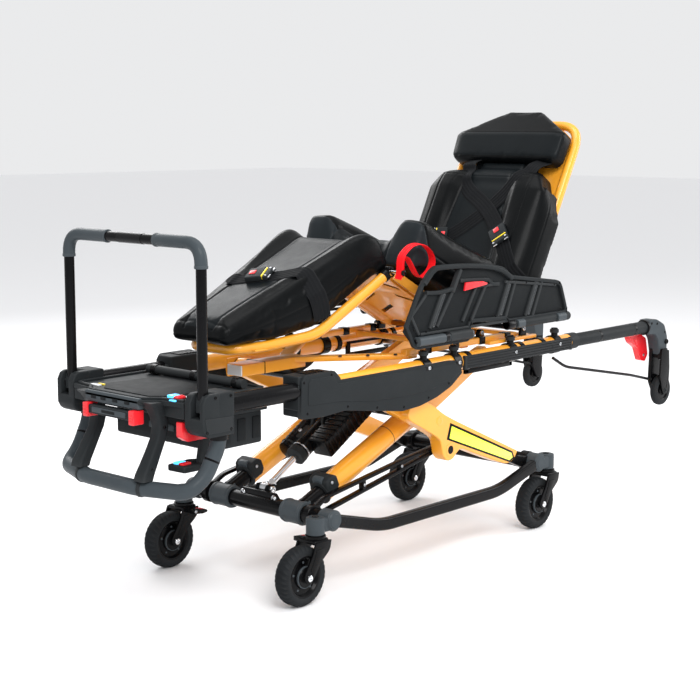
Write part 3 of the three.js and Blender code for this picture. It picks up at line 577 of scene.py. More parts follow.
# ---- X-frame --------------------------------------------------------------
def leg_a():
    inner = Piece("leg_a_slider", "leg_a_inner", "black", ["leg_a_inner_left", "leg_a_inner_right"], LEG_A)
    outer = Piece("leg_a_sleeve", "leg_a_outer", "yellow",
                  ["leg_a_outer_left", "leg_a_outer_right", "leg_a_shaft"], LEG_A)
    for _, side in SIDES:
        y = side * 140
        inner.ring((0, side * 98, 0), (0, side * 168, 0), 23, 30, "grey")
        inner.rod((24, y, 0), (320, y, 0), 22, round_by=1)
        for edge in (104, 158):
            inner.ring((0, side * edge, 0), (0, side * (edge + 5), 0), 29, 31.5, "grey")
        inner.side([(20, -13), (36, -17), (36, 17), (20, 13)], y - 20, y + 20, "grey", 4, segments=3)
        outer.rod((94, y, 0), (462, y, 0), 30, sides=44, round_by=1.5)
        outer.ring((372, y, 0), (374.5, y, 0), 29.4, 30.5, "dark")
        # The top clamp of the sleeve, with its rounded dark cover.
        cap = [(90, -8), (90, 22), (95, 36), (106, 41), (126, 40), (136, 30), (136, 4), (126, -8)]
        outer.side(cap, y - 33, y + 33, "dark", 6, segments=3)
        outer.side([(90, 28), (90, 39), (96, 44), (106, 44), (106, 32)], y - 16, y + 16, "grey", 3)
        for out in (-1, 1):
            outer.bolt((112, y + out * 32.5, 24), (0, out, 0), 4.5, 2.5)
        outer.ring((88, y, 0), (95, y, 0), 23, 32.5, "dark")
        arm = curved([(446, -29), (520, -33), (640, -31), (LEG_REACH, -22), (846, -10),
                           (850, 0), (846, 10), (LEG_REACH, 22), (640, 31), (520, 33),
                           (446, 29), (428, 0)])
        outer.side(arm, y - 14, y + 12, round_by=5, segments=3)
        outer.disc((LEG_REACH, 0), 11.5, y, side * 221, "steel")
        outer.ring((LEG_LOWER, y - 17, 0), (LEG_LOWER, y + 17, 0), 13, 30, "yellow")
        bracket = [(464, 0), (498, -14), (504, 14), (451, 90), (421, 92), (417, 70)]
        outer.side(bracket, side * 31, side * 40, "black")
    outer.disc((LEG_LOWER, 0), 13.5, -204, 204, "black")
    outer.disc(RAM_EYE, 7.5, -44, 44, "steel")
    for _, side in SIDES:
        outer.bolt((RAM_EYE[0], side * 43, RAM_EYE[1]), (0, side, 0), 12, 5, "dark")
    inner.done()
    outer.done()


def leg_b():
    inner = Piece("leg_b_slider", "leg_b_inner", "black", ["leg_b_inner_left", "leg_b_inner_right"], LEG_B)
    outer = Piece("leg_b_casting", "leg_b_outer", "yellow",
                  ["leg_b_outer_left", "leg_b_outer_right", "leg_b_top_tube"], LEG_B)
    for _, side in SIDES:
        inner.ring((0, side * 205, 0), (0, side * 230, 0), 23, 29)
        inner.side([(-22, -16), (-22, 12), (-44, 2), (-44, -30), (-34, -28)], side * 206, side * 237,
                   round_by=4)
        inner.box(-325, -34, side * 217, side * 237, -29, -1, round_by=4)
        low = curved([(-95, 10), (-101, -12), (-118, -31), (-150, -41), (-270, -47),
                           (-352, -50), (-372, -64), (-384, -86), (-406, -97), (-430, -88),
                           (-448, -66), (-470, -50), (-540, -42), (-612, -34), (-622, 0),
                           (-612, 22), (-540, 29), (-460, 17), (-300, 13)])
        outer.side(low, side * LEG_B_IN, side * LEG_B_OUT, round_by=6, segments=4)
        upper = [(-540, -35), (-700, -30), (-822, -27), (-842, -18), (-849, 0), (-842, 18), (-822, 26),
                 (-700, 29), (-540, 28)]
        outer.side(upper, side * 181, side * 216.5, round_by=5, segments=3)
        # Reflector in a dark frame, on the outer face of the lower arm; its glow is a painted reflection.
        face = side * LEG_B_OUT
        strip = [(-424, -38), (-124, -26), (-112, -14), (-124, -4), (-428, -4)]
        frame_line = [(-434, -44), (-120, -31), (-103, -13), (-120, 2), (-438, 3)]
        outer.side(frame_line, face - side * 2, face + side * 0.5, "black", 0.4)
        outer.side(strip, face, face + side * 1.0, "reflector", 0.5)
        outer.bolt((-406, face, -66), (0, side, 0), 13, 1.2, "black")
        outer.ring((-406, face - side * 1, -66), (-406, face + side * 1.1, -66), 12, 19, "yellow")
        outer.bolt((-LEG_LOWER, face, -4), (0, side, 0), 14, 1.0, "yellow")
        outer.ring((-LEG_REACH, side * 179, 0), (-LEG_REACH, side * 222, 0), 14, 24, "dark")
    outer.disc((-LEG_REACH, 0), 14, -221, 221, "black")
    inner.done()
    outer.done()


def links():
    p = Piece("stabiliser_links", "links", "black", ["link_left", "link_right"])
    for _, side in SIDES:
        y = side * 191
        for line in ([(110, y, 218), (150, y, 240), (436, y, 283), (606, y, 304)],
                     [(118, y, 192), (150, y, 204), (436, y, 259), (606, y, 293)]):
            p.sweep(round_path(line, 16), rounded_rect(17, 10, 2.5), up=(0, 0, 1))
        p.ring((BASE_FOOT, side * 182, BASE_Z), (BASE_FOOT, side * 200, BASE_Z), 23, 29)
        for x, low, high in ((288, 232, 262), (440, 261, 283)):
            p.box(x, x + 12, side * 183, side * 199, low, high, round_by=1.5)
            p.bolt((x + 6, side * 199, (low + high) / 2), (0, side, 0), 4, 2.2)
        p.sweep([(590, y, 284), (622, y, 288), (652, y, 291)], rounded_rect(17, 5, 2), up=(0, 0, 1))
        p.sweep([(590, y, 310), (622, y, 314), (652, y, 317)], rounded_rect(17, 5, 2), up=(0, 0, 1))
        p.box(650, 656, side * 183, side * 199, 289, 318, round_by=2)
    p.done()


def ram():
    rod = Piece("ram_rod_chrome", "ram_rod", "chrome", ["lift_rod"], RAM)
    rod.rod((8, 0, 0), (250, 0, 0), 10)
    rod.ring((0, -13, 0), (0, 13, 0), 6.5, 14, "steel")
    rod.ring((13, 0, 0), (30, 0, 0), 9.8, 13.5, "steel", sides=6)
    rod.done()
    p = Piece("ram_power_unit", "ram_barrel", "black", ["lift_barrel"], RAM)
    p.rod((136, 0, 0), (384, 0, 0), 26, round_by=3)
    p.ring((130, 0, 0), (150, 0, 0), 10.6, 28, "dark")
    p.ring((156, 0, 0), (160, 0, 0), 25, 27.2, "steel")
    p.box(366, RAM_LENGTH, -12, 12, -14, 14, round_by=3)
    p.ring((RAM_LENGTH, -14, 0), (RAM_LENGTH, 14, 0), 9.6, 16.5)
    p.box(178, 370, -83, -18, -29, 25, round_by=6, segments=3)
    for i in range(9):
        x = 190 + i * 19
        p.box(x, x + 7, -84, -20, 24, 27.5, round_by=1.2)
        p.box(x, x + 7, -84.5, -82, -26, 22, round_by=1.0)
    p.rod((152, 52, -10), (350, 52, -10), 30, round_by=4)
    for x in (164, 336):
        p.ring((x, 52, -10), (x + 6, 52, -10), 29, 31.5, "dark")
    for i in range(10):
        x = 182 + i * 15
        p.ring((x, 52, -10), (x + 4, 52, -10), 29, 31.0)
    p.box(186, 238, -58, 58, -21, 17, "dark", 4)
    for y in (-40, 40):
        p.bolt((212, y, 17), (0, 0, 1), 6, 4)
    p.tube([(240, 22, 14), (262, 24, 34), (300, 20, 38), (352, 6, 34), (372, 2, 18)], 4.2, 12, "dark", 12)
    p.tube([(238, -24, 12), (252, -14, 34), (300, -10, 36), (344, -4, 34), (366, -2, 20)], 3.6, 12, "dark",
           12)
    p.done()


# ---- litter ---------------------------------------------------------------
def rails():
    p = Piece("litter_rails", "litter", "yellow", ["rail_left", "rail_right"])
    for _, side in SIDES:
        y = side * RAIL_Y
        p.rod((-239, y, RAIL_Z), (110, y, RAIL_Z), 22.8, "black", sides=44)
        p.rod((105, y, RAIL_Z), (696, y, RAIL_Z), 23, sides=44)
        p.ring((690, y, RAIL_Z), (1188, y, RAIL_Z), 20.6, 23, sides=44)
        p.ring((1150, y, RAIL_Z), (1190, y, RAIL_Z), 20.7, 24.4, "dark", sides=44)
        p.side([(200, 500), (280, 500), (284, 520), (284, 552), (196, 552), (196, 520)], side * 218,
               side * 228,
               round_by=3)
        for low, high in ((498, 512), (538, 546)):
            p.box(684, 902, side * 218, side * 228, low, high, "black", 2)
        for x in (684, 888):
            p.box(x, x + 14, side * 218, side * 228, 499, 545, "black", 2)
        for x in (470, 600, 860, 1080):
            p.ring((x - 15, y, RAIL_Z), (x + 15, y, RAIL_Z), 22, 27.5, "black")
            p.rod((x, side * 250, 560), (x, side * 250, 593), 10, "black", round_by=2)
            p.ring((x, side * 250, 578), (x, side * 250, 589), 9, 13.5, "dark")
            p.bolt((x, y + side * 26.5, 546), (0, side, 0), 5.5, 3, "steel")
        for x in (655, 905, 1010):
            p.ring((x - 9, y, RAIL_Z), (x + 9, y, RAIL_Z), 22, 26, "black")
    p.done()


def bumpers():
    for name, side in SIDES:
        p = Piece(f"bumper_ribbed_{name}", "litter", "bumper", [f"bumper_{name}"])
        shape = []
        face = side * 273.6
        for i in range(5):
            z = 524 + i * 7.4
            shape += [(face - side * 2.6, z), (face, z + 1.4), (face, z + 5.4),
                      (face - side * 2.6, z + 6.8)]
        p.cross([(side * 266, 524)] + shape + [(side * 266, 560)], 624, 1138, round_by=0.5, segments=1)
        for x in (622, 1132):
            p.box(x, x + 9, side * 264, side * 274, 522.5, 561.5, "dark", 2.5)
        for x in (700, 860, 1040):
            p.bolt((x, side * 273.2, 542), (0, side, 0), 4, 1.2, "dark")
        p.done()


def covers():
    for name, side in SIDES:
        p = Piece(f"cover_shell_{name}", "litter", "dark", [f"cover_{name}"])
        shell = [(-19, 476), (-19, 562), (-4, 583), (104, 583), (120, 557), (560, 556),
                 (598, 552), (616, 516), (566, 484), (507, 463), (435, 448), (361, 444),
                 (140, 477), (60, 472)]
        p.side(outline(shell, 7), side * 256, side * 270.5, round_by=3.5, segments=3)
        # A raised upper facet leaves a crease that runs along the lower third.
        facet = [(6, 508), (6, 560), (16, 572), (96, 572), (110, 549), (560, 548), (590, 545), (602, 518),
                 (560, 499), (470, 486), (380, 482), (250, 487), (130, 502), (60, 506)]
        p.side(facet, side * 268, side * 272.2, round_by=1.8, segments=3)
        p.side([(104, 558), (104, 574), (112, 576), (126, 562), (126, 556)], side * 250, side * 268,
               round_by=2)
        p.box(-18, 108, side * 205, side * 262, 479, 581, round_by=6, segments=3)
        for i in range(6):
            x = 20 + i * 11
            p.box(x, x + 6, side * 214, side * 252, 580, 584.0, "black", 1.2)
        for x, z in ((4, 488), (150, 486), (262, 468), (368, 455), (470, 466), (556, 494), (-8, 566),
                     (90, 574)):
            p.bolt((x, side * 270.3, z), (0, side, 0), 3.6, 1.5, "black")
        p.side([(-19, 496), (-19, 560), (-23, 556), (-23, 500)], side * 214, side * 266, round_by=1.5)
        p.done()


def litter_frame():
    p = Piece("litter_ladder", "litter", "yellow", ["litter_frame"])
    p.box(18, 250, -28, 28, 549, 580, round_by=4, segments=3)
    p.box(15, 19, -26, 26, 551, 578, "white", 1.5)
    p.box(96, 99, -28.6, 28.6, 548.5, 580.6, "black", 0.5)
    for _, side in SIDES:
        arm = [(200, side * 20), (236, side * 56), (450, side * 217), (486, side * 217), (486, side * 196),
               (250, side * 20)]
        p.floor(arm, 566, 580, round_by=4, segments=3)
        p.box(440, 936, side * 194, side * 216, 574, 592, round_by=4, segments=3)
        p.box(784, 1010, side * 214, side * 236, 570, 580, round_by=3)
        p.side([(784, 578), (816, 578), (812, 604), (806, 610), (794, 610), (788, 604)], side * 181,
               side * 193,
               "black", 3)
        p.side([(942, 578), (974, 578), (970, 604), (964, 610), (952, 610), (946, 604)], side * 216.8,
               side * 226, "black", 3)
        p.bolt((800, side * 193, 600), (0, side, 0), 7, 4)
        p.bolt((958, side * 226, 600), (0, side, 0), 7, 4)
        for x in (300, 360, 420):
            p.bolt((x, side * (60 + (x - 240) * 0.75), 580), (0, 0, 1), 5, 2.5, "dark")
    p.box(700, 730, -200, 200, 566, 580, round_by=3)
    p.box(984, 1008, -229, 229, 568, 580, round_by=3)
    for x in (520, 640, 760, 880):
        for _, side in SIDES:
            p.box(x, x + 26, side * 192, side * 218.5, 572, 594, "black", 3)
    p.done()


# ---- foot end -------------------------------------------------------------
def housings():
    for name, side in SIDES:
        p = Piece(f"housing_shell_{name}", "litter", "dark", [f"housing_{name}"])
        lower = [(-338, 498), (-330, 484), (-318, 476), (-240, 476), (-240, 522), (-292, 522), (-338, 520)]
        upper = [(-291, 518), (-291, 568), (-284, 577), (-240, 577), (-240, 518)]
        p.side(lower, side * 206, side * 271.5, round_by=5, segments=3)
        p.side(upper, side * 206, side * 271.5, round_by=4, segments=3)
        cheek = [(-338, 512), (-338, 556), (-330, 572), (-318, 577), (-284, 577), (-284, 512)]
        p.side(cheek, side * 257.5, side * 271.5, round_by=5, segments=3)
        p.side(cheek, side * 206, side * 226.5, round_by=5, segments=3)
        p.side([(-326, 486), (-248, 486), (-248, 519), (-332, 522)], side * 270.5, side * 272.8,
               round_by=1.2)
        for x, z in ((-326, 490), (-252, 490), (-300, 568), (-252, 568)):
            p.bolt((x, side * 271.8, z), (0, side, 0), 4.2, 1.8, "black")
        p.ring((-312, side * 256, 545), (-312, side * 259, 545), 6, 14, "black")
        p.done()


def push_bar():
    p = Piece("push_bar_tube", "push_bar", "black", ["push_bar"])
    p.tube([(PUSH_X, -PUSH_Y, 548), (PUSH_X, -PUSH_Y, PUSH_TOP), (PUSH_X, PUSH_Y, PUSH_TOP),
            (PUSH_X, PUSH_Y, 548)], 12.6, 50, sides=36)
    for _, side in SIDES:
        corner = [(PUSH_X, side * 92, PUSH_TOP), (PUSH_X, side * PUSH_Y, PUSH_TOP),
                  (PUSH_X, side * PUSH_Y, 868)]
        p.tube(corner, 15.2, 50, "grey", 40)
        p.ring((PUSH_X, side * 87, PUSH_TOP), (PUSH_X, side * 94, PUSH_TOP), 12, 16.2, "grey")
        p.ring((PUSH_X, side * PUSH_Y, 862), (PUSH_X, side * PUSH_Y, 870), 12, 16.2, "grey")
        p.side([(-326, 532), (-298, 532), (-298, 556), (-303, 575), (-321, 575), (-326, 556)], side * 231,
               side * 253, "dark", 4, segments=3)
        p.disc((PUSH_X, 545), 6, side * 227, side * 257, "steel")
    p.tube([(PUSH_X, -44, PUSH_TOP), (PUSH_X, 44, PUSH_TOP)], 13.3, 0, "black", 36)
    p.done()


def hoop():
    p = Piece("lift_hoop_tube", "litter", "grey", ["lift_hoop"])
    half = [(-262, 240, 475), (-262, 240, 452), (-302, 236, 378), (-346, 224, 346), (-392, 96, 346)]
    other = [(x, -y, z) for x, y, z in reversed(half)]
    p.tube(half + other, 19, 26, sides=36)
    for _, side in SIDES:
        p.ring((-284, side * 237.5, 411), (-281, side * 238, 417), 18.4, 19.5, "black")
        p.ring((-262, side * 240, 462), (-262, side * 240, 476), 18, 22.5, "black")
        p.ring((-385, side * 114, 346), (-388.5, side * 104, 346), 18.6, 20.8, "dark")
    p.done()


# x, y, z, depth along X and width along Y of the console's posts, from the tray down.
POST_STATIONS = [(-350, 112, 549, 60, 60), (-347, 115, 540, 48, 50), (-343, 117, 529, 40, 41),
                 (-336, 116, 508, 34, 36), (-333, 115, 484, 31, 34), (-340, 115, 458, 31, 33),
                 (-355, 116, 430, 33, 33), (-371, 117, 402, 35, 35), (-384, 118, 380, 36, 38),
                 (-389, 118, 366, 34, 40)]


def console():
    p = Piece("console_shell", "litter", "dark", ["console"])
    tray = [(-338, -203), (-64, -203), (-64, 203), (-338, 203), (-350, 130), (-384, 100), (-384, -100),
            (-350, -130)]
    p.floor(tray, 540, 553, round_by=4, segments=3)
    # A raised rim and a shallow channel round the tray.
    rim = round_path([(-328, -196, 555), (-74, -196, 555), (-74, 196, 555), (-328, 196, 555),
                      (-341, 128, 555),
                      (-372, 96, 555), (-372, -96, 555), (-341, -128, 555), (-328, -196, 555)], 9, 4)
    p.sweep(rim, rounded_rect(9, 7, 2.6), up=(0, 0, 1))
    p.floor([(-296, -130), (-96, -112), (-96, 112), (-296, 130), (-338, 84), (-338, -84)], 552, 555.5,
            "panel",
            1.6)
    p.tube([(-118, -176, 566), (-118, 176, 566)], 11.5, 0, "dark", 28)
    for y in (-150, 0, 150):
        p.ring((-118, y - 9, 566), (-118, y + 9, 566), 11, 13.6, "black")
    p.box(-384, -366, -99, 99, 529, 556, "grey", 4, segments=3)
    p.box(-337, -302, -203, 203, 513, 547, round_by=4, segments=3)
    for y in (-58, -14, 30, 66):
        p.box(-385.5, -381, y - 9, y + 9, 537, 545, "panel", 1.5)
    for _, side in SIDES:
        p.box(-262, -66, side * 190, side * 202.5, 501, 545, round_by=3)
        # Each post swells where it flows into the tray and again where it grips the hoop.
        rings = [[(x + u, side * (y + v), z) for u, v in rounded_rect(deep, wide, 8)]
                 for x, y, z, deep, wide in POST_STATIONS]
        p.add(rings_to_bm(rings))
        p.bolt((-334, side * 133.5, 486), (0, side, 0), 4, 1.8, "black")
        p.bolt((-376, side * 134.5, 392), (0, side, 0), 4, 1.8, "black")
    # Button bezel, status lamps and a small marking on the far side.
    for y in (-168, -146):
        p.sweep(round_path([(-332, y - 10, 555), (-302, y - 10, 555), (-302, y + 10, 555),
                            (-332, y + 10, 555),
                            (-332, y - 10, 555)], 3, 3), rounded_rect(2.4, 5, 0.9), "black", up=(0, 0, 1))
    p.box(-340, -333, -178, -134, 545, 556.5, "blue", 1.4)
    p.box(-300, -290, -184, -130, 553, 558, "white", 1.4)
    p.box(-330, -318, 118, 148, 553, 556.6, "white", 0.8)
    p.box(-312, -306, 118, 140, 553, 556.4, "yellow_mark", 0.6)
    # The lower hand controls, on a pod that hangs behind the hoop's near side.
    p.floor([(-330, -196), (-252, -198), (-232, -152), (-262, -132), (-334, -140)], 384, 400, round_by=5,
            segments=3)
    p.side([(-282, 392), (-240, 392), (-236, 480), (-262, 503)], -192, -178, round_by=3)
    p.box(-324, -296, -163, -149, 399, 405, "blue", 2)
    p.box(-324, -296, -182, -168, 399, 405, "red", 2)
    p.done()
    lamp = Piece("raise_button_cap", "raise_button", "blue", ["raise_button"])
    lamp.box(-330, -304, -154, -138, 556.4, 563.5, round_by=2.2, segments=3)
    lamp.done()
    lamp = Piece("lower_button_cap", "lower_button", "red", ["lower_button"])
    lamp.box(-330, -304, -176, -160, 556.4, 562, round_by=2.2, segments=3)
    for x in (-326, -318.5, -311):
        lamp.box(x, x + 4, -174, -162, 561, 564, "red", 0.8)
    lamp.done()


def latches():
    p = Piece("foot_latch_grip", "foot_latch", "red", ["foot_latch"])
    p.box(-392, -368, -90, 90, 501, 523, "dark", 5, segments=3)
    p.box(-394.5, -390, -62, 62, 506, 519, "grey", 2)
    p.box(-395.5, -393, -24, 24, 509, 516, "panel", 1)
    for _, side in SIDES:
        p.box(-396, -363, side * 76, side * 94.6, 492.5, 527, round_by=3, segments=3)
        for z in (499, 506, 513):
            p.box(-397.5, -395, side * 79, side * 92, z, z + 3, round_by=0.8)
    p.done()
    p = Piece("release_lever_red", "release_lever", "red", ["release_lever"])
    shape = [(-336, 505), (-308, 505), (-308, 474), (-250, 466), (-250, 458), (-318, 458),
             (-336, 470)]
    p.side(outline(shape, 3.5, 3), -196, -176, round_by=2)
    p.bolt((-322, -196, 498), (0, -1, 0), 4, 2, "steel")
    p.done()
    p = Piece("head_latch_red", "head_latch", "red", ["head_latch"])
    shape = [(1548, 512), (1610, 519), (1648, 500), (1662, 446), (1646, 424), (1620, 430),
             (1598, 474), (1560, 494)]
    p.side(outline(shape, 6), -200, -221, round_by=3, segments=3)
    p.side([(1572, 506), (1606, 510), (1618, 488), (1588, 486)], -221, -222.4, round_by=0.6)
    p.bolt((1636, -221, 446), (0, -1, 0), 5, 1.4, "steel")
    p.done()


def battery():
    p = Piece("battery_case", "litter", "black", ["battery_pack"])
    p.box(-225, -62, -180, 180, 416, 498, "dark", 8, segments=3)
    p.box(-150, -64, -186, 186, 497, 537, "black", 4)
    p.box(-229, -222, -120, 120, 432, 486, "panel", 3)
    p.box(-232, -226, -46, 46, 448, 464, "grey", 2.5)
    for i in range(7):
        y = -150 + i * 50
        p.box(-214, -74, y - 3, y + 3, 413.5, 418, "black", 1.2)
    for _, side in SIDES:
        for x in (-196, -146, -96):
            p.box(x, x + 26, side * 179, side * 182.5, 430, 484, "panel", 1.5)
    p.done()


# ---- patient surface frames ------------------------------------------------
def thigh_frame():
    p = Piece("thigh_panel", "thigh", "yellow", ["thigh_pan"], THIGH)
    p.from_node("thigh_pan", round_by=0.8)
    p.disc((-THIGH_LENGTH, 0), 12.2, -150, 150, "black")
    for _, side in SIDES:
        p.bolt((-THIGH_LENGTH, side * 150, 0), (0, side, 0), 9, 3.5, "black")
        p.ring((-THIGH_LENGTH, side * 128, 0), (-THIGH_LENGTH, side * 139, 0), 12, 17, "black")
        p.bolt((-40, side * 150, -6), (0, side, 0), 5, 2.5)
    p.done()


def leg_frame():
    p = Piece("leg_loop", "lower_leg", "yellow", ["leg_frame"])
    half = [(426, -166, 798), (177, -134, 652), (20, -98, 634), (-64, -68, 632)]
    other = [(x, -y, z) for x, y, z in reversed(half)]
    path = round_path(half + other, 34, 9)
    p.sweep(path, circle(14, 32))
    p.box(-18, 103, -111, 111, 626.5, 631.5, round_by=1.5)
    for x in (10, 60):
        for _, side in SIDES:
            p.bolt((x, side * 70, 626.5), (0, 0, -1), 5, 2.5)
    for _, side in SIDES:
        p.ring((417, side * 164.8, 792.8), (404, side * 163, 785), 13.5, 16, "black")
        p.rod((424, side * 154, 799), (424, side * 178, 799), 15, "black", round_by=3)
        p.bolt((424, side * 178, 799), (0, side, 0), 8, 4, "black")
    p.done()


def back_frame():
    p = Piece("back_loop", "backrest", "yellow", ["back_frame"], BACK)
    p.tube([(-4, -200, 0), (664, -200, 0), (664, 200, 0), (-4, 200, 0)], 14, 80, sides=32)
    sheet = [(70, -194), (560, -194), (622, -176), (648, -140), (648, 140), (622, 176), (560, 194),
             (70, 194)]
    p.floor(sheet, -3, 3, round_by=1.2)
    p.disc((0, 0), 8, -226, 226, "black")
    for _, side in SIDES:
        p.ring((2, side * 200, 0), (30, side * 200, 0), 13.5, 17, "black")
        for x in (120, 300, 480, 600):
            p.bolt((x, side * 150, -3), (0, 0, -1), 6, 3)
            p.bolt((x, side * 188, 3), (0, 0, 1), 3.5, 1.5, "dark")
        # An oblong hand hole, edged, in each upper corner.
        hole = round_path([(606, side * 142, 3.2), (634, side * 126, 3.2), (640, side * 150, 3.2),
                           (606, side * 168, 3.2), (606, side * 142, 3.2)], 6, 4)
        p.sweep(hole, rounded_rect(4, 4, 1.4), up=(0, 0, 1))
        p.floor([(609, side * 145), (633, side * 131), (637, side * 149), (609, side * 164)], -3.3, 3.3,
                "white", 0.3)
    for x in (140, 240, 340, 440):
        p.box(x, x + 16, -170, 170, -9, -2, round_by=3)
    p.done()


# ---- side guards ------------------------------------------------------------
def guards():
    for name, side in SIDES:
        p = Piece(f"guard_panel_{name}", f"guard_{name}", "dark", [f"side_guard_{name}"])
        back, face, skin_y, outer = side * 264, side * 268, side * 270, side * 274
        base_shape = [(412, 606), (366, 652), (430, 764), (480, 808), (508, 813), (716, 803), (788, 790),
                      (830, 763), (1056, 733), (1073, 725), (1104, 650), (1104, 640), (815, 640), (806,
                                                                                                   650),
                      (645, 656), (640, 640), (640, 606)]
        # The panel's outline steps down round the hand slot.
        low = base_shape[:3] + [(446, 778), (448, 744), (563, 748), (596, 796)] + base_shape[5:]
        p.side(low, back, face, "panel", 0.8)
        # The moulded outline, proud of the panels.
        edge = round_path([(q[0], skin_y, q[1]) for q in base_shape + base_shape[:2]], 14, 5)[6:-1]
        p.sweep(edge, rounded_rect(11, 11, 3), up=(0, side, 0), closed=True)
        rail_line = smooth_path([(442, skin_y, 772), (482, skin_y, 806), (520, skin_y, 811),
                                 (620, skin_y, 808), (712, skin_y, 800), (780, skin_y, 785),
                                 (828, skin_y, 760)], 6)
        p.sweep(rail_line, rounded_rect(13, 20, 4.5), up=(0, side, 0))
        p.sweep(smooth_path([(452, skin_y, 748), (510, skin_y, 745), (562, skin_y, 750)], 5),
                rounded_rect(11, 12, 3), up=(0, side, 0))
        p.sweep([(562, skin_y, 742), (596, skin_y, 800)], rounded_rect(11, 16, 3), up=(0, side, 0))
        p.sweep([(596, skin_y, 770), (722, skin_y, 764), (742, skin_y, 750),
                 (772, skin_y, 748)], rounded_rect(11, 9, 3), up=(0, side, 0))
        # Diagonal ribs, three of them with a scored grip strip.
        for foot, top, scored in (((424, 640), (392, 690), 0), ((470, 652), (520, 742), 1),
                                  ((500, 654), (566, 744), 0), ((610, 658), (668, 748), 0),
                                  ((650, 658), (716, 756), 0), ((770, 656), (816, 752), 1),
                                  ((806, 652), (850, 750), 0), ((902, 646), (948, 742), 1),
                                  ((936, 644), (980, 738), 0)):
            a, b = (foot[0], skin_y, foot[1]), (top[0], skin_y, top[1])
            p.sweep([a, b], rounded_rect(9, 9, 2.5), up=(0, side, 0))
            if scored:
                a, b = Vector(a), Vector(b)
                for i in range(22):
                    mid = a.lerp(b, 0.06 + 0.88 * i / 21) + Vector((13, side * 1.0, 0))
                    tip = Vector((4, 0, 1.2))
                    p.sweep([mid - tip, mid + tip], rounded_rect(7, 2, 0.8), "rib", up=(0, side, 0))
        for line in (((430, 640), (1090, 640)), ((392, 690), (452, 742)), ((668, 748), (772, 748)),
                     ((800, 752), (1050, 724))):
            p.sweep([(line[0][0], skin_y, line[0][1]), (line[1][0], skin_y, line[1][1])],
                    rounded_rect(8, 8, 2.5), up=(0, side, 0))
        for x, z in ((402, 654), (452, 646), (640, 662), (756, 660), (1074, 652), (1040, 726), (900, 742)):
            p.bolt((x, outer, z), (0, side, 0), 3, 1.4, "black")
        # Hinge pods along the foot of the guard.
        y = side * 271.5
        p.sweep([(412, y, 622), (642, y, 622)], rounded_rect(24, 35, 9, 6), "grey", up=(0, side, 0))
        p.sweep([(540, y, 623), (634, y, 623)], rounded_rect(27, 37.5, 9, 6), "dark", up=(0, side, 0))
        p.sweep([(522, y, 622), (536, y, 622)], rounded_rect(25.5, 36.5, 9, 6), "black", up=(0, side, 0))
        p.turned([(0, 3), (5, 3), (7, 0), (0, 0)], (412, y, 622), (-1, 0, 0), "black", 20)
        p.rod((812, y - side * 2, 628), (1118, y - side * 2, 628), 13.2, "dark", round_by=3)
        p.rod((812, y - side * 2, 628), (846, y - side * 2, 628), 14.4, "black", round_by=3)
        p.sweep([(852, y, 628), (884, y, 628)], rounded_rect(25, 31, 10, 6), "grey", up=(0, side, 0))
        p.sweep([(1050, y, 628), (1090, y, 628)], rounded_rect(25, 31, 10, 6), "grey", up=(0, side, 0))
        p.rod((1104, y - side * 2, 628), (1118, y - side * 2, 628), 9, "black", sides=6)
        p.done()
        p = Piece(f"guard_wedge_{name}", f"guard_release_{name}", "red", [f"guard_release_{name}"])
        p.side([(606, 742), (660, 747.5), (706, 752), (708, 756), (690, 762), (650, 764), (612, 764)],
               side * 274.8, side * 281.5, round_by=1.8, segments=3)
        p.done()


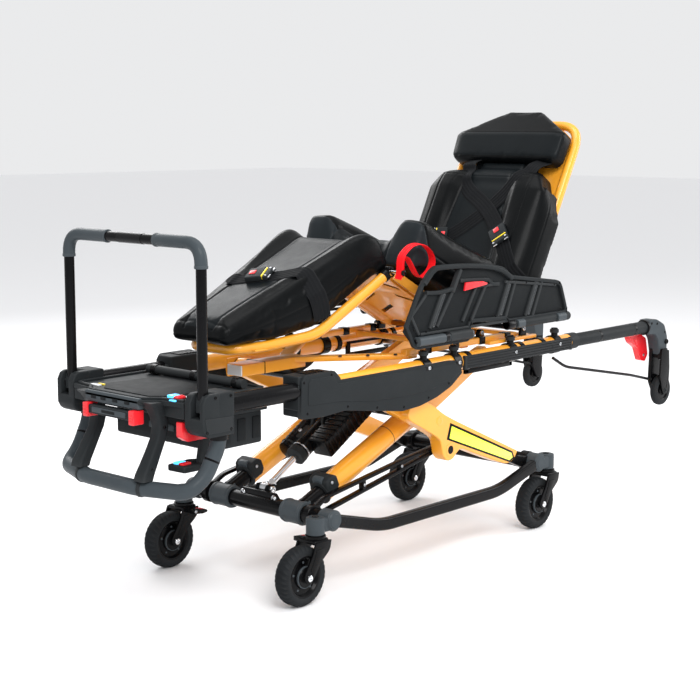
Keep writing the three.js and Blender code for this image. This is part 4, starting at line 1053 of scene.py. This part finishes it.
# ---- head section -----------------------------------------------------------
def head_section():
    p = Piece("head_tubes", "head_section", "dark", ["head_tube_left", "head_tube_right"])
    for name, side in SIDES:
        y = side * RAIL_Y
        p.rod((1100, y, RAIL_Z), (1600, y, RAIL_Z), 20, sides=40)
        for x in (1318, 1519):
            p.ring((x - 6, y, RAIL_Z), (x + 6, y, RAIL_Z), 19.5, 20.4, "black")
        elbow = [(1588, 520), (1588, 567), (1640, 567), (1688, 546), (1708, 504), (1706, 440),
                 (1666, 440), (1650, 498), (1632, 518)]
        p.side(outline(elbow, 10, 5), side * 223, side * 266, "grey", 6, segments=3)
        p.ring((1586, y, RAIL_Z), (1594, y, RAIL_Z), 19.5, 25, "black")
        arm = [(1658, 470), (1706, 470), (1712, 400), (1706, 322), (1690, 312), (1674, 322),
               (1652, 360)]
        p.side(outline(arm, 8), side * 228, side * 240, "black", 3, segments=3)
        p.side([(1664, 436), (1704, 436), (1704, 462), (1664, 466)], side * 222, side * 267, "black", 4,
               segments=3)
        cheek = [(1662, 468), (1706, 468), (1713, 400), (1709, 330), (1698, 314), (1682, 314),
                 (1671, 330), (1656, 380)]
        p.side(outline(cheek, 9), side * 268.6, side * 274, "black", 2.2, segments=3)
        p.side([(1664, 466), (1704, 466), (1706, 436), (1662, 432)], side * 258, side * 270, "black", 2)
        p.disc((LOAD_X, LOAD_Z), 6, side * 238, side * 269, "steel")
        p.bolt((LOAD_X, side * 274, LOAD_Z), (0, side, 0), 8, 2.5, "dark")
        p.tube([(1066, side * 256.5, 504), (1132, side * 256.5, 470), (1500, side * 256.5, 400),
                (1640, side * 239, 368), (1662, side * 236, 364)], 4.5, 26, "black", 14)
        p.bolt((1698, side * 266, 488), (0, side, 0), 9, 6, "black")
        for x, z in ((1606, 556), (1640, 552), (1690, 520)):
            p.bolt((x, side * 266, z), (0, side, 0), 4, 2, "black")
    p.done()
    for name, side in SIDES:
        w = Piece(f"load_tyre_{name}", f"load_wheel_{name}", "tyre", [f"load_wheel_{name}"])
        rubber = [(33, -11), (36, -12.6), (44, -11.4), (48.4, -8), (50, -3), (50, 3), (48.4, 8), (44, 11.4),
                  (36, 12.6), (33, 11)]
        w.turned(rubber, (LOAD_X, side * 255, LOAD_Z), (0, 1, 0), sides=72)
        hub = [(6.8, -12), (14, -12), (17, -8), (30, -7), (34, -10), (34, 10), (30, 7), (17, 8), (14, 12),
               (6.8, 12)]
        w.turned(hub, (LOAD_X, side * 255, LOAD_Z), (0, 1, 0), "black", sides=40)
        w.done()


base()
for _end, _swivel in (("foot", 55), ("head", 1055)):
    for _name, _side in SIDES:
        caster(_end, _name, _swivel, _side)
for _name, _side in SIDES:
    pedal(_name, _side)
leg_a()
leg_b()
links()
ram()
rails()
bumpers()
covers()
litter_frame()
housings()
push_bar()
hoop()
console()
latches()
battery()
thigh_frame()
leg_frame()
back_frame()
guards()
head_section()


# ---- upholstery -------------------------------------------------------------
PAD_VOXEL = 5.5
PAD_PRESSURE = 4.0
PAD_FRAMES = 20
PAD_STIFFNESS, PAD_BENDING = 22, 3
SECTION_STEPS = 26


def evaluated(made):
    graph = bpy.context.evaluated_depsgraph_get()
    graph.update()
    return bpy.data.meshes.new_from_object(made.evaluated_get(graph))


def coords(mesh, kind="co"):
    flat = np.zeros(len(mesh.vertices) * 3)
    if kind == "co":
        mesh.vertices.foreach_get("co", flat)
    else:
        mesh.vertex_normals.foreach_get("vector", flat)
    return flat.reshape(-1, 3)


def take_mesh(made, mesh):
    old = made.data
    made.modifiers.clear()
    made.data = mesh
    bpy.data.meshes.remove(old)


def modified(made, kind, **settings):
    step = made.modifiers.new(kind, kind)
    for key, value in settings.items():
        setattr(step, key, value)
    take_mesh(made, evaluated(made))


def puffed(made, cap):
    """Foam under its cover: the cloth swells a little, up to cap mm."""
    before = coords(made.data)
    cloth = made.modifiers.new("cloth", "CLOTH")
    cloth.settings.use_pressure = True
    cloth.settings.uniform_pressure_force = PAD_PRESSURE
    cloth.settings.tension_stiffness = PAD_STIFFNESS
    cloth.settings.compression_stiffness = PAD_STIFFNESS
    cloth.settings.bending_stiffness = PAD_BENDING
    cloth.settings.effector_weights.gravity = 0
    cloth.point_cache.frame_start = 1
    cloth.point_cache.frame_end = PAD_FRAMES
    for number in range(1, PAD_FRAMES + 1):
        bpy.context.scene.frame_set(number)
    take_mesh(made, evaluated(made))
    bpy.context.scene.frame_set(1)
    after = coords(made.data)
    move = after - before
    length = np.linalg.norm(move, axis=1, keepdims=True)
    limit = cap * MM
    scale = limit * np.tanh(length / limit) / np.maximum(length, 1e-9)
    made.data.vertices.foreach_set("co", (before + move * scale).ravel())
    made.data.update()


def pad(name, body, node_name, rings, local, cap, seams, panels, extra=()):
    """A padded piece lofted from rings of points, puffed, then seamed.

    seams gives, for coordinates in the local frame, (distance mm, depth mm, width mm) triples;
    panels gives the index of the material on each face from its centre and normal."""
    mesh = bpy.data.meshes.new(name)
    whole = bmesh.new()
    for loft in [rings, *extra]:
        bm = rings_to_bm(loft)
        bm.to_mesh(mesh)
        bm.free()
        whole.from_mesh(mesh)
    bmesh.ops.triangulate(whole, faces=[f for f in whole.faces if len(f.verts) > 4])
    whole.transform(local.matrix)
    whole.to_mesh(mesh)
    whole.free()
    made = bpy.data.objects.new(name, mesh)
    bpy.context.scene.collection.objects.link(made)
    modified(made, "REMESH", mode="VOXEL", voxel_size=PAD_VOXEL * MM, adaptivity=0.0)
    modified(made, "SMOOTH", factor=0.5, iterations=3)
    puffed(made, cap)
    modified(made, "SUBSURF", levels=1)
    inverse = np.array(local.matrix.inverted())
    co = coords(made.data)
    normal = coords(made.data, "normal")
    here = co @ inverse[:3, :3].T + inverse[:3, 3]
    turn = inverse[:3, :3] * MM
    for distance, depth, width in seams(here, normal @ turn.T):
        co = co - normal * (depth * MM * np.exp(-(distance / width) ** 2))[:, None]
    made.data.vertices.foreach_set("co", co.ravel())
    made.data.update()
    keys, choose = panels
    for key in keys:
        made.data.materials.append(material(key))
    count = len(made.data.polygons)
    centre, facing = np.zeros(count * 3), np.zeros(count * 3)
    made.data.polygons.foreach_get("center", centre)
    made.data.polygons.foreach_get("normal", facing)
    centre = centre.reshape(-1, 3) @ inverse[:3, :3].T + inverse[:3, 3]
    facing = facing.reshape(-1, 3) @ turn.T
    made.data.polygons.foreach_set("material_index", choose(centre, facing).astype(np.int32))
    made.data.polygons.foreach_set("use_smooth", np.ones(count, bool))
    made.data.update()
    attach(made, body)
    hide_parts(node_name)
    return made


def smoothstep(value, low, high):
    t = np.clip((value - low) / (high - low), 0, 1)
    return t * t * (3 - 2 * t)


def section(half, bottom, top, corner, low_corner=9):
    """A ring of (y, z): flat below, rounded sides, and top(y) above."""
    points = []
    for i in range(7):
        turn = math.radians(90 + 90 * i / 6)
        points.append((-(half - low_corner) + low_corner * math.cos(turn),
                       bottom + low_corner - low_corner * math.sin(turn)))
    left = []
    for i in range(SECTION_STEPS + 1):
        y = -half + 2 * half * (0.5 - 0.5 * math.cos(math.pi * i / SECTION_STEPS))
        gap = max(0.0, abs(y) - (half - corner))
        drop = corner - math.sqrt(max(0.0, corner * corner - gap * gap))
        left.append((y, max(top(y) - drop, bottom + low_corner + 1)))
    ring = points + left
    right = [(-y, z) for y, z in reversed(points)]
    return ring + right


LEG_PAD_TOP = ([-116, -111, -102, 330, 360, 382, 400, 413, 424],
               [676, 690, 699, 896, 903, 898, 884, 858, 832])
LEG_PAD_BASE = ([-116, -104, 60, 178, 424], [662, 650, 653, 671, 816])


def leg_pad_half(x):
    return 102 + (x + 118) * 68 / 560 - 9 * (1 - smoothstep(x, -118, -100))


def leg_pad():
    rings = []
    for x in np.concatenate([np.linspace(-116, -96, 5), np.linspace(-70, 340, 22),
                             np.linspace(356, 424, 9)]):
        half = float(leg_pad_half(x))
        high = float(np.interp(x, *LEG_PAD_TOP))
        base_z = float(np.interp(x, *LEG_PAD_BASE))
        high = max(high, base_z + 6)
        dip = 21 * float(smoothstep(x, -90, 330))

        def top(y):
            return high - dip * (1 - float(smoothstep(abs(y) / half, 0.48, 0.88)))
        corner = min(19, (high - base_z) * 0.45, half * 0.4)
        ring = section(half, base_z, top, corner, min(9, (high - base_z) * 0.2))
        rings.append([(float(x), y, z) for y, z in ring])

    def seams(p, n):
        half = leg_pad_half(p[:, 0])
        middle = 0.5 * np.interp(p[:, 0], *LEG_PAD_TOP) + 0.5 * np.interp(p[:, 0], *LEG_PAD_BASE)
        above = p[:, 2] > middle
        line = np.where(above & (n[:, 2] > 0.3), np.abs(p[:, 1]) - 0.52 * half, 99)
        flank = np.where(np.abs(p[:, 1]) > 0.86 * half, p[:, 2] - middle + 8, 99)
        front = np.where((p[:, 0] < -60) & above, p[:, 0] + 98, 99)
        return [(line, 2.2, 3.2), (flank, 1.4, 2.4), (front, 1.2, 2.6)]

    def choose(p, n):
        half = leg_pad_half(p[:, 0])
        return ((np.abs(p[:, 1]) < 0.52 * half) & (n[:, 2] > 0.4)).astype(int)
    made = pad("cushion_leg_pad", "lower_leg", "cushion_leg", rings, FIT, 6, seams,
               (("vinyl", "vinyl_panel"), choose))
    return made


SEAT_BOLSTER = [(820, 626), (640, 718), (462, 814), (482, 866), (501, 914), (513, 932), (534, 930),
                (640, 888),
                (740, 846), (828, 808), (848, 788), (848, 644)]
SEAT_TROUGH = [(820, 626), (640, 718), (462, 814), (474, 844), (494, 864), (512, 870), (544, 862),
               (640, 812),
               (745, 756), (832, 712), (846, 700), (848, 644)]


def seat_pad():
    bolster = [Vector((x, 0, z)) for x, z in SEAT_BOLSTER]
    trough = [Vector((x, 0, z)) for x, z in SEAT_TROUGH]
    rings = []
    for y in np.concatenate([np.linspace(-209, -185, 7), np.linspace(-170, 170, 30),
                             np.linspace(185, 209, 7)]):
        share = float(smoothstep(abs(y), 84, 142))
        edge = max(0.0, (abs(y) - 180) / 30)
        inset = 16 * (1 - math.sqrt(max(0.0, 1 - edge * edge)))
        mixed = [t.lerp(b, share) for t, b in zip(trough, bolster)]
        middle = sum(mixed, Vector()) / len(mixed)
        ring = []
        for q in mixed:
            out = q - middle
            ring.append(middle + out * (1 - inset / max(out.length, 1)))
        rings.append([(q.x, float(y), q.z) for q in ring])

    def seams(p, n):
        line = np.where(n[:, 2] > -0.1, np.abs(p[:, 1]) - 108, 99)
        flank = np.where(np.abs(p[:, 1]) > 190, p[:, 2] - (1130 - 0.5 * p[:, 0]) + 16, 99)
        brow = np.where((p[:, 0] < 600) & (np.abs(p[:, 1]) > 108), p[:, 0] - 522 + 0.22 * (p[:, 2] - 900),
                        99)
        return [(line, 2.4, 3.4), (flank, 1.4, 2.4), (brow, 1.6, 2.6)]

    def choose(p, n):
        grey = (p[:, 0] < 522 - 0.22 * (p[:, 2] - 900)) & (p[:, 2] > 812) & (np.abs(p[:, 1]) > 108)
        flat = (np.abs(p[:, 1]) < 108) & (n[:, 2] > 0.3)
        return np.where(grey, 2, np.where(flat, 1, 0))
    made = pad("cushion_seat_pad", "thigh", "cushion_seat", rings, FIT, 7, seams,
               (("vinyl", "vinyl_panel", "vinyl_grey"), choose))
    return made


def back_pad_half(x):
    return np.interp(x, [78, 92, 396, 470, 480, 520], [204, 214, 214, 176, 122, 116])


def back_skirt(side):
    """The cover hangs over the frame tube along this side."""
    rings = []
    for x in np.linspace(80, 414, 22):
        narrow = float(smoothstep(x, 330, 414))
        inner, outer, low = side * (217 - 3 * narrow), side * (225 - 5 * narrow), -12 + 30 * narrow
        rings.append([(float(x), y, z) for y, z in ((inner, low), (outer, low), (outer, 56),
                                                    (side * 216, 84),
                                                    (side * 196, 84), (side * 196, 20), (inner,
                                                                                         max(19,
                                                                                             low + 3)))])
    return rings


def back_pad():
    rings = []
    for x in np.concatenate([np.linspace(78, 96, 4), np.linspace(115, 385, 17), np.linspace(396, 472, 9),
                             np.linspace(480, 520, 4)]):
        half = float(back_pad_half(x))
        high = float(np.interp(x, [78, 96, 400, 446, 472, 480, 520], [96, 114, 114, 104, 76, 50, 44]))
        dip = 24 * float(np.interp(x, [78, 110, 420, 472, 480], [0.7, 1, 1, 0.15, 0]))
        inner = float(np.interp(x, [78, 470], [118, 78]))

        def top(y):
            rise = float(smoothstep(abs(y), inner - 8, inner + 34))
            fall = 12 * max(0.0, (abs(y) - 168) / 42)
            fall = 0.0 if x > 475 else fall
            return high - dip * (1 - rise) - fall
        ring = section(half, 17, top, 17, 8)
        rings.append([(float(x), y, z) for y, z in ring])

    def inner_at(p):
        return np.interp(p[:, 0], [78, 470], [118, 78])

    def seams(p, n):
        up = n[:, 2] > 0.2
        line = np.where(up, np.abs(p[:, 1]) - inner_at(p), 99)
        ridge = np.where(up, np.abs(p[:, 1]) - 166, 99)
        flank = np.where(np.abs(p[:, 1]) > 160, p[:, 2] - 60, 99)
        brow = np.where(up, p[:, 0] - 440, 99)
        return [(line, 2.4, 3.2), (ridge, 1.8, 2.6), (flank, 1.4, 2.4), (brow, 1.2, 2.4)]

    def choose(p, n):
        return ((np.abs(p[:, 1]) < inner_at(p)) & (n[:, 2] > 0.3)).astype(int)
    made = pad("cushion_back_pad", "backrest", "cushion_back", rings, BACK, 7, seams,
               (("vinyl", "vinyl_panel"), choose), [back_skirt(side) for _, side in SIDES])
    return made


def head_pad():
    rings = []
    for x in np.concatenate([np.linspace(506, 524, 5), np.linspace(536, 606, 6),
                             np.linspace(618, 700, 10)]):
        half = float(np.interp(x, [506, 524, 604, 700], [180, 198, 203, 64]))
        high = float(np.interp(x, [506, 514, 592, 604, 700], [64, 76, 78, 72, 30]))

        def top(y):
            return high - 5 * float(smoothstep(abs(y) / half, 0.86, 1.0))
        ring = section(half, 17, top, 6, 4)
        rings.append([(float(x), y, z) for y, z in ring])

    def seams(p, n):
        line = np.where(n[:, 2] > 0.2, p[:, 0] - 600, 99)
        low = np.where(n[:, 2] > 0.1, p[:, 0] - 522, 99)
        return [(line, 1.0, 2.4), (low, 1.0, 2.4)]

    def choose(p, n):
        return ((p[:, 0] < 600) & (p[:, 0] > 522) & (n[:, 2] > 0.3)).astype(int)
    made = pad("headrest_pad", "backrest", "headrest", rings, BACK, 4, seams,
               (("vinyl", "vinyl_panel"), choose))
    return made


# ---- webbing ----------------------------------------------------------------
def webbing_section(width, thick=2.4, ribs=5):
    """Flat webbing with ribs along its upper face."""
    top = []
    steps = ribs * 6
    for i in range(steps + 1):
        u = -width / 2 + width * i / steps
        wave = 0.5 - 0.5 * math.cos(2 * math.pi * ribs * i / steps)
        edge = min(i, steps - i) / 2
        top.append((u, thick * (0.55 + 0.45 * min(edge, 1)) - 0.8 * (1 - wave)))
    under = [(width / 2 - 1, 0), (-width / 2 + 1, 0)]
    return top + under


class Cover:
    """The padded surface that webbing lies on, in a local frame."""

    def __init__(self, made, local):
        self.local = local
        mesh = made.data.copy()
        mesh.transform(local.matrix.inverted())
        bm = bmesh.new()
        bm.from_mesh(mesh)
        self.tree = BVHTree.FromBMesh(bm)
        bm.free()
        bpy.data.meshes.remove(mesh)

    def height(self, x, y, down, start=1500):
        """The point where a ray along down meets the pad from above (x, y)."""
        down = Vector(down)
        hit = self.tree.ray_cast(Vector((x, y, 0)) - down * start, down)
        return hit[0]


def taut(points, floor_heights, up, rounds=60):
    """Webbing pulled snug: it bridges hollows and touches the high places."""
    heights = list(floor_heights)
    for _ in range(rounds):
        for i in range(1, len(heights) - 1):
            heights[i] = max(floor_heights[i], 0.5 * (heights[i - 1] + heights[i + 1]) - 0.15)
    return [p + up * h for p, h in zip(points, heights)]


def path_normals(path, up):
    """Normals for webbing: square to its run, with its width kept where it turns down a side."""
    runs, widths = [], []
    for i in range(len(path)):
        run = (path[min(i + 1, len(path) - 1)] - path[max(i - 1, 0)]).normalized()
        flat = run - up * run.dot(up)
        runs.append(run)
        widths.append(up.cross(flat).normalized() if flat.length > 0.6 else None)
    known = [i for i, width in enumerate(widths) if width]
    nearest = [min(known, key=lambda k: abs(k - i)) for i in range(len(path))]
    return [run.cross(widths[k]).normalized() for run, k in zip(runs, nearest)]


def lay(cover, plan, up, lift=1.2, steps=7):
    """Points of a strap that follows a plan line over a cover."""
    flat = smooth_path([(x, y, 0) for x, y in plan], steps)
    points, heights = [], []
    for q in flat:
        hit = cover.height(q.x, q.y, -up)
        if hit is None:
            continue
        base_point = hit - up * hit.dot(up)
        points.append(base_point)
        heights.append(hit.dot(up) + lift)
    return taut(points, heights, up)


def buckle(piece, at, along, up, length=60, width=54):
    """A push-button buckle with a red button, a marked edge and a steel tongue."""
    along = along.normalized()
    across = up.cross(along).normalized()
    up = along.cross(across).normalized()
    place = Local()
    turn = Matrix((along, across, up)).transposed().to_4x4()
    place.matrix = piece.local.matrix @ Matrix.Translation(at) @ turn
    h = width / 2
    piece.box(-length * 0.5, length * 0.22, -h, h, 0, 15, "dark", 4, segments=3, local=place)
    piece.box(-length * 0.38, -length * 0.12, -9, 9, 14, 16.8, "red", 1.6, local=place)
    piece.box(length * 0.26, length * 0.5, -h, h, 0.5, 13, "dark", 3.5, segments=3, local=place)
    piece.box(length * 0.21, length * 0.27, -h + 3, h - 3, 3, 14.2, "yellow_mark", 0.8, local=place)
    piece.box(length * 0.48, length * 0.58, -h + 1, -h + 15, 4, 10, "chrome", 2, local=place)
    piece.box(length * 0.48, length * 0.58, h - 15, h - 1, 4, 10, "chrome", 2, local=place)
    for y in (-h + 6, h - 6):
        piece.bolt((length * 0.4, y, 13), (0, 0, 1), 3.2, 1.2, "steel", local=place)


def harness(cover):
    p = Piece("harness_webbing", "backrest", "webbing", ["harness_strap"], BACK)
    up = Vector((0, 0, 1))
    cross = lay(cover, [(462, 92), (400, 72), (330, -34), (235, -130), (170, -175), (124, -204)], up)
    start = [(520, 100, 50), (502, 98, 70), (482, 95, 92)]
    end = [(116, -222, 92), (110, -229, 62), (106, -229, 34)]
    path = smooth_path(start + cross[::3] + end, 6)
    p.sweep(path, webbing_section(47), normals=path_normals(path, up))
    spot = min(range(len(path)), key=lambda i: (path[i] - Vector((235, -130, path[i].z))).length)
    buckle(p, path[spot] + up * 2.0, path[spot + 3] - path[spot - 3], up)
    other = lay(cover, [(458, -138), (400, -100), (330, -34), (270, 30), (235, 80), (225, 120)], up,
                lift=0.6)
    start = [(520, -158, 48), (502, -152, 68), (482, -146, 88)]
    path = smooth_path(start + other[::3], 6)
    # The far strap passes under the near one where they cross.
    p.sweep(path, webbing_section(47, 1.9), normals=path_normals(path, up))
    buckle(p, path[-4] + up * 1.5, path[-1] - path[-8], up, 46, 50)
    p.done()


def leg_strap(cover):
    p = Piece("leg_strap_webbing", "lower_leg", "webbing", ["leg_strap"])
    up = Vector((0, 0, 1))
    middle = lay(cover, [(156, -136), (144, -92), (124, -30), (106, 20), (88, 70), (74, 116)], up, lift=1.8)
    near = [(186, -149, 694), (178, -150.5, 724), (168, -149, 752), (161, -144, 768)]
    far = [(72, 127, 744), (78, 132, 712), (86, 133, 684)]
    path = smooth_path(near + middle[3:-3:3] + far, 7)
    p.sweep(path, webbing_section(52), normals=path_normals(path, LEG_TOP_NORMAL))
    spot = min(range(len(path)), key=lambda i: abs(path[i].y - 2))
    slope = (path[spot - 3] - path[spot + 3]).normalized()
    buckle(p, path[spot] + LEG_TOP_NORMAL * 2.0, slope, LEG_TOP_NORMAL, 66, 52)
    p.done()


def knee_loop():
    """The red pull loop, riveted at the knee hinge."""
    p = Piece("pull_loop_red", "thigh", "red_webbing")
    line = [(386, 786), (390, 802), (391, 832), (402, 852), (436, 872), (478, 872), (512, 854), (528, 826),
            (516, 800), (486, 785), (462, 794), (440, 820), (420, 842), (403, 845), (395, 830), (394, 806),
            (391, 792)]
    path = smooth_path([(x, -231 - 3 * math.sin(i * 0.5), z) for i, (x, z) in enumerate(line)], 7)
    normals = []
    for i in range(len(path)):
        along = path[min(i + 1, len(path) - 1)] - path[max(i - 1, 0)]
        normals.append(along.cross(Vector((0, 1, 0.12))).normalized())
    p.sweep(path, webbing_section(24, 1.8, 3), normals=normals)
    p.bolt((393, -244, 803), (0, -1, 0), 8, 4, "black")
    p.rod((393, -244, 803), (420, -150, 800), 4, "steel")
    p.done()


leg_cover = Cover(leg_pad(), FIT)
seat_pad()
back_cover = Cover(back_pad(), BACK)
head_pad()
harness(back_cover)
leg_strap(leg_cover)
knee_loop()


# ---- floor and finish -------------------------------------------------------
FLOOR_HALF = 28


def floor():
    corners = [(x * FLOOR_HALF, y * FLOOR_HALF, 0) for x, y in ((-1, -1), (1, -1), (1, 1), (-1, 1))]
    mesh = bpy.data.meshes.new("floor")
    mesh.from_pydata(corners, [], [(0, 1, 2, 3)])
    made = bpy.data.objects.new("floor", mesh)
    bpy.context.scene.collection.objects.link(made)
    pale = bpy.data.materials.new("floor")
    pale.use_nodes = True
    shader = pale.node_tree.nodes["Principled BSDF"]
    shader.inputs["Base Color"].default_value = (0.92, 0.92, 0.93, 1)
    shader.inputs["Roughness"].default_value = 0.75
    mesh.materials.append(pale)


floor()
